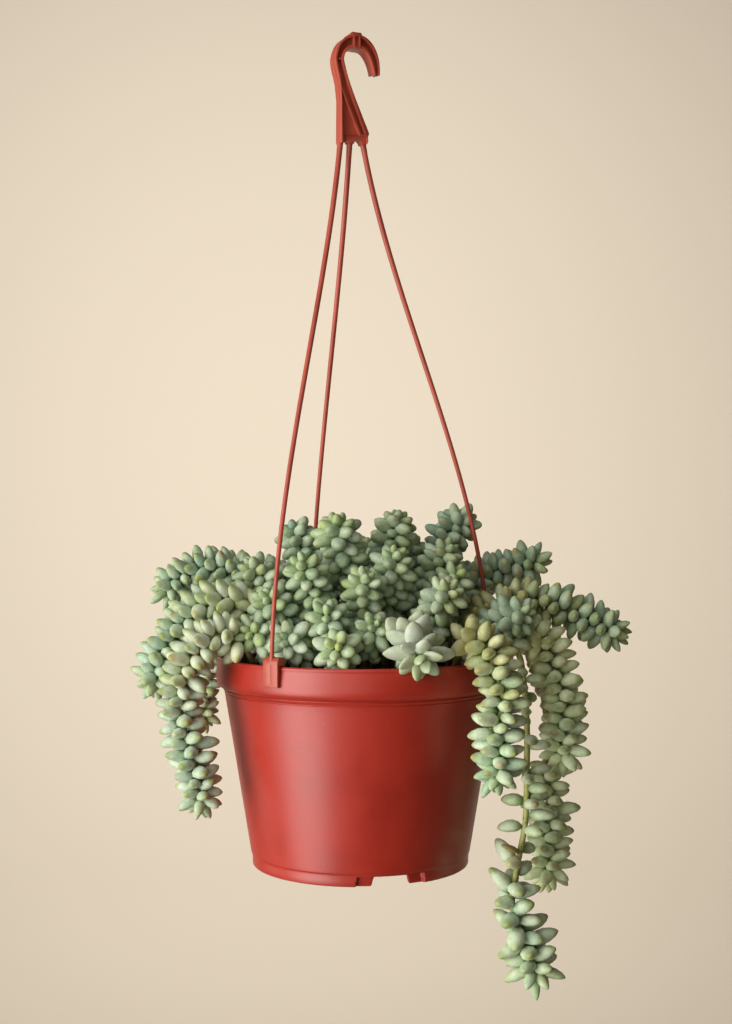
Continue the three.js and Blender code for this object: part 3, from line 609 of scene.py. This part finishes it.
# How the leaves of the crown's heads grow: how many cover the dome of the bud; the millimetres of stem from
# one to the next below it; the number of the first that is full grown; its size in the bud and what it
# gains, as shares; its widest lean in degrees, and how far it turns up to the light; length, width and
# thickness in millimetres; how much sharper than most its point is; how green the bud is; how worn its
# tip is.
HEAD_LEAVES = {"dome": 22, "spacing": 1.22, "full": 9, "gain": (0.6, 0.4), "widest": 68, "light": 0.12,
               "leaf": (15.2, 9.4, 8.4), "point": -0.05, "green": 0.26, "worn": 0.35}
# The same for the longer stems.
LONG_LEAVES = {"dome": 22, "spacing": 1.75, "full": 14, "gain": (0.8, 0.2), "widest": 80, "light": 0.42,
               "leaf": (17.6, 10.8, 9), "point": 0.05, "green": 0.34, "worn": 1}
# What differs on these stems.
OWN_LEAVES = {
    "crown_rim_pale": {"dome": 20, "leaf": (18.4, 11.8, 6.4), "point": 0.1},
    "trail_right_long": {"dome": 16, "spacing": 2, "widest": 72, "leaf": (18.6, 11.6, 9.4)},
    "trail_right_behind": {"spacing": 2},
}
# How far the older leaves of these stems have faded to ivory.
FADED = {"trail_left": 0.75, "arch_lower_left": 0.45, "crown_rim_pale": 0.55}
# How large the leaves of these stems are beside the others'.
SIZES = {"crown_rim_pale": 1.07, "trail_right": 0.98, "trail_front_right": 0.98, "trail_left": 0.95,
         "trail_right_long": 1.08, "arch_left": 0.85, "arch_lower_left": 0.92, "crown_centre_tall": 1.1,
         "crown_front_centre": 0.85, "trail_back_left": 0.85}
# How thickly wax lies on the stems that carry more of it than the others.
WAXED = {"crown_rim_pale": 0.6, "trail_right": 0.6, "trail_right_long": 0.65, "trail_right_behind": 0.65,
         "crown_rim_left": 0.6, "trail_left": 0.65, "arch_left": 0.4, "trail_front_right": 0.5}
# How far the old leaves of the stems that get most sun have turned tan.
SUNNED = {"trail_right": 0.45, "trail_right_long": 0.3, "arch_right": 0.95, "trail_front_right": 0.85,
          "trail_left": 0.15, "crown_rim_pale": 0.2}


def standing(x, y):
    """A stem's end in the soil and the point where it leaves it, upright."""
    level = soil_level(x, y)
    return np.array([(x, y, level - ROOT_DEPTH), (x, y, level + RISE)])


def crown_line(x, y, z):
    """A cubic Bezier curve from the soil, nearer the middle, that turns outwards as it ends in its head."""
    # A stem's foot is at three quarters of its head's distance from the axis, and within 76 mm of it.
    inward = min(0.74, 76 / np.hypot(x, y))
    foot, ground = standing(x * inward, y * inward)
    # The further out a head stands, the more it leans out.
    out = min(1, np.hypot(x, y) / 100)
    way = np.array([x, y, 0]) / np.hypot(x, y) * out + (0, 0, 1.05 - out**2)
    way /= np.linalg.norm(way)
    tip = np.array([x, y, z]) + 7 * way
    reach = np.linalg.norm(tip - ground)
    t = np.linspace(0, 1, 40)[:, None]
    near, far = ground + (0, 0, reach * 0.36), tip - way * reach * 0.36
    curve = (1 - t)**3 * ground + 3 * t * (1 - t)**2 * near + 3 * t**2 * (1 - t) * far + t**3 * tip
    return np.vstack([foot, curve])


def long_line(foot, points):
    """A line up out of the soil and a smooth curve through the points, on to where the bud's stem ends."""
    foot, ground = standing(*foot)
    end = np.subtract(points[-1], points[-2])
    bud = points[-1] + 4 * end / np.linalg.norm(end)
    return np.vstack([foot, smooth_line([ground, *points[:-1], bud], 12)])


def measured(line):
    """The line again with its points evenly spaced, about a millimetre apart, and its length."""
    steps = np.r_[0, np.cumsum(np.linalg.norm(np.diff(line, axis=0), axis=1))]
    even = np.linspace(0, steps[-1], int(steps[-1]) + 2)
    return np.stack([np.interp(even, steps, line[:, i]) for i in range(3)], -1), steps[-1]


def leaves_on(name, line, length, leafy, tones, seed):
    """One row for each leaf, from the tip down. A leaf sits a golden angle round from the one before. The
    bud's leaves cover a dome evenly, so the cosine of a leaf's lean falls in step with its number."""
    draw = np.random.default_rng(seed)
    crown = name.startswith("crown")
    habit = {**(HEAD_LEAVES if crown else LONG_LEAVES), **OWN_LEAVES.get(name, {})}
    size = SIZES.get(name, 1)
    number = np.arange(400)
    in_dome = habit["dome"]
    # Leaves of the bud are 0.4 mm apart.
    internode = 0.4 + (habit["spacing"] * size - 0.4) * smoothstep(in_dome * 0.3, in_dome, number)
    behind = np.cumsum(internode) - internode[0]
    share = behind / leafy
    station = np.clip((1 - behind / length) * (len(line) - 1), 0, len(line) - 1)
    odds = np.full(len(number), 1.0)
    if crown:
        # Low down, where a stem is shaded, it has dropped leaves.
        height = line[station.astype(int), 2]
        odds = np.where(number < in_dome, 1, np.interp(height, [8, 34], [0.3, 0.95]))
    if name == "trail_right_long":
        # Its upper half has lost nearly all its leaves, and those lower down stand apart.
        odds = np.interp(behind, [42, 56, 150, 160, 218, 230], [1, 0.4, 0.36, 0.22, 0.22, 0.9])
    # The lowest leaves stand clear of the soil.
    kept = (behind < min(leafy, length - ROOT_DEPTH - RISE - 4)) & (draw.uniform(size=len(number)) < odds)
    number, behind, share, station = number[kept], behind[kept], share[kept], station[kept]
    count = len(number)
    grown = smoothstep(-1.5, habit["full"], number)
    low = np.minimum(station.astype(int), len(line) - 2)
    part = (station - low)[:, None]
    centre, along, across, over = (values[low] * (1 - part) + values[low + 1] * part
                                   for values in (line, *frames_along(line)))
    turn = (number * GOLDEN_ANGLE + draw.normal(0, 0.14, count))[:, None]
    out = across * np.cos(turn) + over * np.sin(turn)
    lean = np.arccos(np.clip(1 - (number + 0.4) / in_dome, np.cos(np.radians(habit["widest"])), 1))
    lean = (lean + np.radians(draw.normal(0, 6, count)))[:, None]
    # Leaves turn up to the light, more so the older they are.
    light = np.outer(smoothstep(0, 30, number) * habit["light"], (0, 0, 1))
    way = out * np.sin(lean) + along * np.cos(lean) + light
    way /= np.linalg.norm(way, axis=1)[:, None]
    size = size * draw.uniform(0.84, 1.1, count)
    # Young leaves are nearly as long as grown ones, but slender.
    girth = size * (0.64 + 0.36 * grown)
    size = size * (habit["gain"][0] + habit["gain"][1] * grown)
    length, width, thick = habit["leaf"]
    if name == "trail_right_long":
        # The leaves that are left on its upper half are smaller.
        shrunk = np.interp(behind, [90, 150], [1, 0.72])
        size, girth = size * shrunk, girth * shrunk
    tone = tones[1] + (tones[0] - tones[1]) * share + draw.normal(0, 0.16, count)
    old = smoothstep(0.3, 0.8, share + draw.normal(0, 0.12, count))
    sun = SUNNED.get(name, 0)
    # A leaf's root lies just under the stem's skin.
    rows = {
        "name": np.full(count, name),
        "root": centre + out * (0.9 + 0.7 * grown)[:, None],
        "way": way,
        "along": along,
        "length": length * size * draw.uniform(0.9, 1.1, count),
        "width": width * girth,
        "thick": thick * girth,
        "point": draw.uniform(0.52, 0.62, count) + habit["point"],
        "tone": np.clip(0.85 * tone + habit["green"] * (1 - smoothstep(2, 20, number)), 0, 1.2),
        "faded": np.clip(FADED.get(name, 0) * smoothstep(0.4, 0.8, share + draw.normal(0, 0.1, count)), 0, 1),
        "blush": np.clip(draw.uniform(0, 1, count) ** 8 + 0.5 * sun * old, 0, 1),
        "tan": sun * old * draw.uniform(0.3, 1, count),
        "hue": draw.uniform(0, 1, count),
        "wax": np.clip(WAXED.get(name, 0.4) + draw.normal(0, 0.16, count), 0, 1) * (0.35 + 0.65 * grown)
        * (1 - 0.75 * sun * old),
        "worn": habit["worn"] * grown * draw.uniform(0.5, 1, count),
        "dry": np.zeros(count),
    }
    if name == "trail_right_long":
        # One leaf half way up has withered, and the next has faded.
        withered = (np.abs(behind - 91) + 15 * way[:, 0]).argmin()
        rows["dry"][withered], rows["faded"][withered - 1] = 1, 1
        rows["wax"][withered - 1] = 0.2
        rows["thick"][withered] *= 0.45
        rows["length"][withered] *= 0.8
    if name == "trail_right_behind":
        # It has no leaves on the side where it rubs against the long stem.
        rubbed = (centre[:, 2] > -80) & (way[:, 0] < -0.1)
        rows = {key: values[~rubbed] for key, values in rows.items()}
    return rows


stem_lines, leaf_rows = {}, []
for seed, (name, x, y, z, tone) in enumerate(CROWN, 21):
    stem_lines[name], length = measured(crown_line(x, y, z))
    leafy = CROWN_LEAFY if y > -30 else FRONT_LEAFY
    leaf_rows.append(leaves_on(name, stem_lines[name], length, leafy, (tone, tone), seed))
for seed, (name, leafy, first_tone, last_tone, foot, *points) in enumerate(LONG, 101):
    stem_lines[name], length = measured(long_line(foot, points))
    leaf_rows.append(leaves_on(name, stem_lines[name], length, leafy, (first_tone, last_tone), seed))
leaves = {key: np.concatenate([row[key] for row in leaf_rows]) for key in leaf_rows[0]}

# Leaves press against each other and against what they lie on. Each is taken as three balls, and turns
# about its root until they are clear. One that can't get clear stays small or falls off.
# The balls' places as shares of a leaf's length, and their radii as shares of its half thickness.
BALL_PLACES = np.array([0.34, 0.6, 0.84])
BALL_GIRTHS = np.array([0.92, 0.94, 0.62])
# Radii of the balls along stems, strands and clips, and the room left at the pot and the soil.
STEM_BALL = 2.4
STRAND_BALL = 1.9
CLIP_BALL = 2.2
WALL_CLEARANCE = 1.3
SOIL_CLEARANCE = 1.0
# A leaf that still sinks deeper than the first into something shrinks, and one deeper than the last falls.
SHRINK_DEPTH = 0.9
FALL_DEPTH = 1.6


def near_pairs(first, second, reach):
    """Which of the first points lie within reach of which of the second, worked out in blocks."""
    found = []
    for start in range(0, len(first), 256):
        gap = np.linalg.norm(first[start:start + 256, None] - second[None], axis=2)
        i, j = np.nonzero(gap < reach)
        found.append(np.c_[i + start, j])
    return np.vstack(found)


def push_from_wall(balls, radii):
    """How far the pot's wall and rim and the soil push a ball: the wall is a line in the plane of
    radius and height, and the push is away from its nearest point."""
    out = np.hypot(balls[..., 0], balls[..., 1])
    place = np.stack([out, balls[..., 2]], -1)
    wall = np.array([(98.2, -0.8), (99.1, -16), (94, -22), (75.2, -135), (74, -143)])
    start, span = wall[:-1], np.diff(wall, axis=0)
    t = np.clip(((place[..., None, :] - start) * span).sum(-1) / (span**2).sum(-1), 0, 1)
    away = place[..., None, :] - (start + span * t[..., None])
    gap = np.linalg.norm(away, axis=-1)
    nearest = gap.argmin(-1)[..., None]
    away = np.take_along_axis(away, nearest[..., None], -2)[..., 0, :]
    gap = np.take_along_axis(gap, nearest, -1)
    push = away / np.maximum(gap, 0.01) * np.maximum(radii[..., None] + WALL_CLEARANCE - gap, 0)
    sink = radii + soil_level(balls[..., 0], balls[..., 1]) + SOIL_CLEARANCE - balls[..., 2]
    sink = np.maximum(sink, 0) * (out < 97)
    radial = balls[..., :2] / np.maximum(out, 1)[..., None]
    return np.concatenate([radial * push[..., :1], (push[..., 1] + sink)[..., None]], -1)


def balls_of(rows):
    """Middles and radii of the three balls of each leaf."""
    reach = rows["length"][:, None] * BALL_PLACES
    girth = (rows["width"] + rows["thick"])[:, None] / 4 * BALL_GIRTHS
    return rows["root"][:, None] + rows["way"][:, None] * reach[..., None], girth


# What stands still while the leaves turn, as balls too: stems, the strands' lower halves and the clips.
still = [(line[::3], STEM_BALL, name) for name, line in stem_lines.items()]
for leaves_at, azimuth in STRANDS.values():
    still.append((strand_line(leaves_at, azimuth, 120)[60:], STRAND_BALL, "hanger"))
    radius, z = np.array([(102, 2), (102, -5), (102, -11), (97, 2), (94, -3)]).T
    for aside in (-4, 0, 4):
        at = around_pot(radius, azimuth, z) + aside * around_pot(1, azimuth + 90, 0)
        still.append((at, CLIP_BALL, "hanger"))
still_at = np.concatenate([at for at, _, _ in still])
still_radius = np.concatenate([np.full(len(at), radius) for at, radius, _ in still])
still_name = np.concatenate([np.full(len(at), name) for at, _, name in still])


def press_apart(rows, rounds):
    """Turns the leaves until their balls are clear of each other's, of other stems and strands, and of the
    pot and soil. Returns how deep each leaf still sinks into something, in millimetres."""
    balls, _ = balls_of(rows)
    # No leaf reaches further than this from its middle ball to another's, or to a still one.
    leaf_reach, still_reach = 21, 17
    pairs = near_pairs(balls[:, 1], balls[:, 1], leaf_reach)
    pairs = pairs[pairs[:, 0] < pairs[:, 1]]
    fixed = near_pairs(balls[:, 1], still_at, still_reach)
    fixed = fixed[rows["name"][fixed[:, 0]] != still_name[fixed[:, 1]]]
    rest = rows["way"].copy()
    lever = (rows["length"][:, None] * BALL_PLACES)[..., None]
    for _ in range(rounds):
        balls, girth = balls_of(rows)
        shift = push_from_wall(balls, girth)
        for a in range(3):
            for b in range(3):
                gap = balls[pairs[:, 0], a] - balls[pairs[:, 1], b]
                far = np.maximum(np.linalg.norm(gap, axis=1), 0.05)
                over = np.maximum(girth[pairs[:, 0], a] + girth[pairs[:, 1], b] - far, 0)
                move = gap * (over / far * 0.5)[:, None]
                np.add.at(shift[:, a], pairs[:, 0], move)
                np.subtract.at(shift[:, b], pairs[:, 1], move)
            gap = balls[fixed[:, 0], a] - still_at[fixed[:, 1]]
            far = np.maximum(np.linalg.norm(gap, axis=1), 0.05)
            over = np.maximum(girth[fixed[:, 0], a] + still_radius[fixed[:, 1]] - far, 0)
            np.add.at(shift[:, a], fixed[:, 0], gap * (over / far)[:, None])
        turn = (shift / lever).mean(1) * 0.8
        way = rows["way"] + turn + 0.04 * (rest - rows["way"])
        rows["way"] = way / np.linalg.norm(way, axis=1)[:, None]
    depth = np.linalg.norm(push_from_wall(balls, girth), axis=-1).max(1)
    for a in range(3):
        gap = balls[fixed[:, 0], a] - still_at[fixed[:, 1]]
        over = girth[fixed[:, 0], a] + still_radius[fixed[:, 1]] - np.linalg.norm(gap, axis=1)
        np.maximum.at(depth, fixed[:, 0], over)
    return depth


for _ in range(3):
    depth = press_apart(leaves, 30)
    small = np.where(depth > SHRINK_DEPTH, 0.82, 1)
    for key in ("length", "width", "thick"):
        leaves[key] = leaves[key] * small
depth = press_apart(leaves, 20)
leaves = {key: values[depth < FALL_DEPTH] for key, values in leaves.items()}

# A leaf is a few rings, at these shares of its length.
LEAF_SIDES = 9
LEAF_PLACES = np.array([0.03, 0.16, 0.37, 0.62, 0.84, 0.96])
LEAF_FACES = grid_faces(len(LEAF_PLACES), LEAF_SIDES)


def leaf_points(rows):
    """Plump spindles: a leaf's radius at u of its length goes as u^0.55 (1 - u)^p, flatter on the face
    turned to the stem's tip, and its middle line curves towards that tip by u squared."""
    u = np.r_[LEAF_PLACES, 0, 1]
    power = rows["point"][:, None]
    widest = 0.55 / (0.55 + power)
    girth = (u**0.55 * (1 - u) ** power / (widest**0.55 * (1 - widest) ** power))[:, :-2, None]
    way = rows["way"]
    up = rows["along"] - way * (rows["along"] * way).sum(1)[:, None]
    up /= np.maximum(np.linalg.norm(up, axis=1), 1e-6)[:, None]
    side = np.cross(way, up)
    bend = (0.02 + 0.1 * rows["hue"]) * rows["length"]
    middle = rows["root"][:, None] + way[:, None] * (u[:, None] * rows["length"][:, None, None])
    middle = middle + up[:, None] * (u**2 * bend[:, None])[..., None]
    turn = np.linspace(0, 2 * np.pi, LEAF_SIDES, endpoint=False)
    lift = np.sin(turn) * np.where(np.sin(turn) > 0, 0.86, 1.06)
    # Neighbours have pressed three faint flats into each leaf.
    girth = girth * (1 + 0.045 * np.cos(3 * turn + 6.28 * rows["hue"][:, None]))[:, None]
    rings = middle[:, :-2, None] + side[:, None, None] * (
        girth * np.cos(turn) * rows["width"][:, None, None] / 2)[..., None]
    rings = rings + up[:, None, None] * (girth * lift * rows["thick"][:, None, None] / 2)[..., None]
    return np.concatenate([rings.reshape(len(way), -1, 3), middle[:, -2:]], 1)


def leafy_mesh(name, rows):
    """A knobbly stem, and its leaves with their roots sunk in it. Each vertex carries how far along its leaf
    it is, and its leaf's tone, fading, blush, tan, worn tip, wax and dryness. On the stem, dryness is how
    much darker and browner it is, which falls from 1 near the soil to 0."""
    line = stem_lines[name]
    to_tip = np.linspace(len(line), 0, len(line))
    width = np.minimum(4.1 + 0.3 * waves(line, 9, len(name)), 1.6 + 0.14 * to_tip)
    sides = 8
    stem = tube(line[::2], width[::2], width[::2], sides)
    faces = grid_faces(len(line[::2]), sides)
    stem_faces = len(faces)
    points = leaf_points(rows)
    count, each = points.shape[:2]
    starts = len(stem) + each * np.arange(count)[:, None, None]
    quads = (len(LEAF_PLACES) - 1) * LEAF_SIDES
    faces += (starts + np.array(LEAF_FACES[:quads])).reshape(-1, 4).tolist()
    faces += (starts + np.array(LEAF_FACES[quads:])).reshape(-1, 3).tolist()
    mesh = as_mesh(name, in_frame(np.vstack([stem, points.reshape(-1, 3)])), faces)
    u = np.r_[np.repeat(LEAF_PLACES, LEAF_SIDES), 0, 1]
    values = {"along": np.tile(u, count)}
    for key in ("tone", "faded", "blush", "tan", "worn", "wax", "dry"):
        values[key] = np.repeat(rows[key], each)
    for key, value in values.items():
        on_stem = np.zeros(len(stem))
        if key == "dry":
            on_stem[:-2] = np.repeat(1 - smoothstep(15, 60, np.arange(len(line))[::2]), sides)
        attribute = mesh.attributes.new(key, "FLOAT", "POINT")
        attribute.data.foreach_set("value", np.r_[on_stem, value].astype(np.float32))
    # Leaves have the piece's first material, and the stem its second.
    on_which = np.zeros(len(faces), int)
    on_which[:stem_faces] = 1
    mesh.polygons.foreach_set("material_index", on_which)
    return mesh


def waxy_leaf(name, blue, green, yellow, film):
    """A succulent leaf: translucent green flesh under a dull film of wax. The film is thin at the root and
    worn off the tip, where the flesh shows olive and often blushes."""
    material, tree, shader = new_material(name, {
        "Roughness": 0.52, "IOR": 1.42, "Subsurface Weight": 0.14, "Subsurface Radius": (0.7, 1.0, 0.4),
        "Subsurface Scale": 0.0022, "Sheen Weight": 0.08, "Sheen Roughness": 0.5,
        "Sheen Tint": linear("#e6f0ea")})
    place = add(tree, "TexCoord").outputs["Object"]
    read = {key: add(tree, "Attribute", {"attribute_name": key}).outputs["Fac"]
            for key in ("along", "tone", "faded", "blush", "tan", "worn", "wax", "dry")}
    flesh = add(tree, "ValToRGB", {"stops": [(0.05, blue), (0.5, green), (1.0, yellow)]},
                {"Fac": read["tone"]})
    # The wax lies in clouds of about 4 mm, and each leaf has more or less of it.
    clouds = add(tree, "TexNoise", {"Scale": 240, "Detail": 4, "Roughness": 0.6}, {"Vector": place})
    amount = add(tree, "MapRange", {"From Min": 0.3, "From Max": 0.7, "To Min": -0.2, "To Max": 0.4},
                 {"Value": clouds.outputs["Fac"]})
    # Flecks of about 0.8 mm, where it has rubbed off.
    flecks = add(tree, "TexNoise", {"Scale": 1200, "Detail": 2, "Roughness": 0.6}, {"Vector": place})
    rubbed = add(tree, "MapRange", {"From Min": 0.35, "From Max": 0.65, "To Min": -0.16, "To Max": 0.16},
                 {"Value": flecks.outputs["Fac"]})
    cloudy = add(tree, "Math", {"operation": "ADD"},
                 {0: amount.outputs["Result"], 1: rubbed.outputs["Result"]})
    uneven = add(tree, "Math", {"operation": "ADD"}, {0: read["wax"], 1: cloudy.outputs[0]})
    root = add(tree, "MapRange", {"From Min": 0.0, "From Max": 0.35}, {"Value": read["along"]})
    waxed = add(tree, "Math", {"operation": "MULTIPLY"}, {0: uneven.outputs[0], 1: root.outputs["Result"]})
    # Near its root, which has hardly any wax, the bare flesh shows, and a deep green is laid over it as
    # painted shade for the gaps between leaves, where their roots sit.
    depth = add(tree, "MapRange", {"From Min": 0.0, "From Max": 0.3, "To Min": 0.75, "To Max": 0},
                {"Value": read["along"]})
    # Over the flesh lie the tan of sun, the ivory of age, the film of wax and the root's deep green, which is
    # painted shade.
    colour = flesh.outputs["Color"]
    for layer, share in (("#b9a968", read["tan"]), ("#cfc998", read["faded"]), (film, waxed.outputs[0]),
                         ("#546c26", depth.outputs["Result"])):
        mixed = add(tree, "Mix", {"data_type": "RGBA", 7: linear(layer)}, {0: share, 6: colour})
        colour = mixed.outputs[2]
    # The worn tip starts at an uneven line, nine tenths of the way along.
    edge = add(tree, "Math", {"operation": "MULTIPLY_ADD", 1: 0.12},
               {0: clouds.outputs["Fac"], 2: read["along"]})
    tip = add(tree, "MapRange", {"From Min": 0.84, "From Max": 0.98}, {"Value": edge.outputs[0]})
    bare = add(tree, "Math", {"operation": "MULTIPLY"}, {0: tip.outputs["Result"], 1: read["worn"]})
    tip_colour = add(tree, "ValToRGB", {"stops": [(0.0, "#95a45f"), (0.55, "#a39c5b"), (0.95, "#a8935f")]},
                     {"Fac": read["blush"]})
    worn = add(tree, "Mix", {"data_type": "RGBA"},
               {0: bare.outputs[0], 6: colour, 7: tip_colour.outputs["Color"]})
    # A withered leaf is brown all over.
    dried = add(tree, "Mix", {"data_type": "RGBA", 7: linear("#8f7a48")},
                {0: read["dry"], 6: worn.outputs[2]})
    tree.links.new(dried.outputs[2], shader.inputs["Base Color"])
    # Fine dimples of the skin, about 0.5 mm across.
    skin = add(tree, "TexNoise", {"Scale": 1800, "Detail": 3}, {"Vector": place})
    bump = add(tree, "Bump", {"Strength": 0.25, "Distance": 0.0003}, {"Height": skin.outputs["Fac"]})
    tree.links.new(bump.outputs["Normal"], shader.inputs["Normal"])
    return material


def soft_stem():
    """Green stem skin, slightly translucent, with brown leaf scars, and darker and browner towards the soil.
    """
    material, tree, shader = new_material("soft_green_stem", {
        "Roughness": 0.5, "Subsurface Weight": 0.15, "Subsurface Radius": (0.7, 1.0, 0.3),
        "Subsurface Scale": 0.002})
    place = add(tree, "TexCoord").outputs["Object"]
    # Scars of about 2 mm among paler skin.
    scars = add(tree, "TexVoronoi", {"Scale": 300}, {"Vector": place})
    shade = add(tree, "ValToRGB", {"stops": [(0.1, "#7c5f36"), (0.24, "#989b58"), (0.7, "#a9ae66")]},
                {"Fac": scars.outputs["Distance"]})
    darker_near_soil = add(tree, "Attribute", {"attribute_name": "dry"}).outputs["Fac"]
    skin = add(tree, "Mix", {"data_type": "RGBA", 7: linear("#4f4129")},
               {0: darker_near_soil, 6: shade.outputs["Color"]})
    tree.links.new(skin.outputs[2], shader.inputs["Base Color"])
    bump = add(tree, "Bump", {"Strength": 0.4, "Distance": 0.0005}, {"Height": scars.outputs["Distance"]})
    tree.links.new(bump.outputs["Normal"], shader.inputs["Normal"])
    return material


# Leaves have one of three skins, and those of the stems in OWN_SKINS one of their own: a lighter, yellower
# copy that is painted light for the right-hand trails, which hang in shade; thickly bloomed with wax; or a
# little paler.
SKINS = {
    "leaf_glaucous": waxy_leaf("waxy_leaf_glaucous", "#7c9f88", "#8da26e", "#a9a858", "#c0cfb8"),
    "leaf_young": waxy_leaf("waxy_leaf_young", "#769c82", "#8aa470", "#a4b568", "#bdccb8"),
    "leaf_pale": waxy_leaf("waxy_leaf_pale", "#84aa92", "#9eae78", "#b8b66c", "#c8d4c0"),
}
# Painted light: a lighter, yellower copy of the leaf skin for the right-hand trails, which the other stems
# and the pot shade.
PAINTED_LIGHT_SKIN = waxy_leaf("waxy_leaf_painted_light", "#b0d6b8", "#c8dca6", "#dede90", "#e9f2cc")
BLOOMED = waxy_leaf("waxy_leaf_bloomed", "#93ac92", "#a3b783", "#bcc07c", "#c3cab9")
LIGHT = waxy_leaf("waxy_leaf_light", "#8ab295", "#9cb87a", "#bcbc68", "#d2dfc4")
OWN_SKINS = {"trail_right": PAINTED_LIGHT_SKIN, "trail_right_behind": PAINTED_LIGHT_SKIN, "crown_rim_pale": BLOOMED,
             "trail_right_long": LIGHT, "trail_front_right": LIGHT}
PALE = {"crown_rim_pale", "arch_lower_left", "trail_left"}
YOUNG = {"crown_centre_tall", "crown_left_inner", "crown_centre", "crown_rim_centre",
         "crown_right_middle", "crown_front_left", "crown_front_centre", "crown_right_inner",
         "crown_left_middle", "crown_rim_far_left"}
stem_skin = soft_stem()
for name in stem_lines:
    mine = leaves["name"] == name
    mesh = leafy_mesh(name, {key: values[mine] for key, values in leaves.items()})
    slot = "leaf_pale" if name in PALE else "leaf_young" if name in YOUNG else "leaf_glaucous"
    new_piece(name + "_grown", mesh, [OWN_SKINS.get(name, SKINS[slot]), stem_skin], slot, name, sharp=80)

# Studio: a pale paper cove, a large soft light from the front left, and a camera level with the crown.
FLOOR_Z = -2.0


def paper_cove():
    """A round floor that turns up into a wall all round, open at its top: a profile of floor, quarter circle
    and wall, turned about the upright axis."""
    bend = np.radians(np.linspace(0, 90, 17))
    quarter = np.c_[2.9 + 0.6 * np.sin(bend), FLOOR_Z + 0.6 * (1 - np.cos(bend))]
    profile = np.array([(0.5, FLOOR_Z), (2.4, FLOOR_Z), *quarter, (3.5, 0.6), (3.5, 2.6)])
    sides = 96
    angle = np.linspace(0, 2 * np.pi, sides, endpoint=False)
    radius, height = profile[:, :1], profile[:, 1:]
    grid = np.stack([radius * np.sin(angle), radius * np.cos(angle), height + 0 * angle], -1)
    top_pole = len(profile) * sides + 1
    faces = [face for face in grid_faces(len(profile), sides) if top_pole not in face]
    mesh = as_mesh("paper_cove", np.vstack([grid.reshape(-1, 3), (0, 0, FLOOR_Z)]), faces)
    mesh.shade_smooth()
    paper, _, _ = new_material("matte_paper", {"Roughness": 0.95, "Base Color": linear("#aa9f8f")})
    mesh.materials.append(paper)
    in_scene("paper_cove", mesh)


def soft_light(name, place, target, width, height, watts, colour, spread=180):
    """An oblong area light turned to its target. The camera doesn't see it."""
    light = bpy.data.lights.new(name, "AREA")
    light.shape, light.size, light.size_y = "RECTANGLE", width, height
    light.energy, light.color, light.spread = watts, linear(colour)[:3], np.radians(spread)
    lamp = in_scene(name, light)
    lamp.location = place
    lamp.rotation_euler = (Vector(target) - Vector(place)).to_track_quat("-Z", "Y").to_euler()
    lamp.visible_camera = False


paper_cove()
POT_MIDDLE = (AXIS_X, 0, RIM_Z - 0.03)
# The side light shows the pot's left edge, and the wall wash lights only the paper behind the pot.
soft_light("key", (-1.2, -0.97, -0.44), POT_MIDDLE, 1.12, 2.1, 40, "#fffdf8")
soft_light("top", (-0.2, -0.75, 0.95), POT_MIDDLE, 0.6, 0.5, 4, "#fdfeff")
soft_light("fill", (-0.35, -1.65, -0.25), POT_MIDDLE, 1.0, 1.4, 5, "#fff6ea")
soft_light("side", (-1.5, 0.35, -0.4), POT_MIDDLE, 0.5, 1.6, 4, "#fff4e6")
soft_light("wall_wash", (-0.22, 0.9, -0.1), (-0.2, 3.5, -0.2), 1.6, 4.2, 110, "#ffffff", 135)
world = bpy.data.worlds.new("room")
world.use_nodes = True
background = world.node_tree.nodes["Background"]
background.inputs["Color"].default_value = linear("#e6e4e0")
background.inputs["Strength"].default_value = 0.02
bpy.context.scene.world = world
bpy.context.scene.view_settings.view_transform = "Standard"

# The camera looks level, from a metre in front of the pot and 99 mm above its rim.
camera = in_scene("camera", bpy.data.cameras.new("camera"))
camera.data.lens = 52.8
camera.data.sensor_width = 36
camera.location = in_frame((3.8, -1046, 99.1))
camera.rotation_euler = (np.pi / 2, 0, 0)
bpy.context.scene.camera = camera
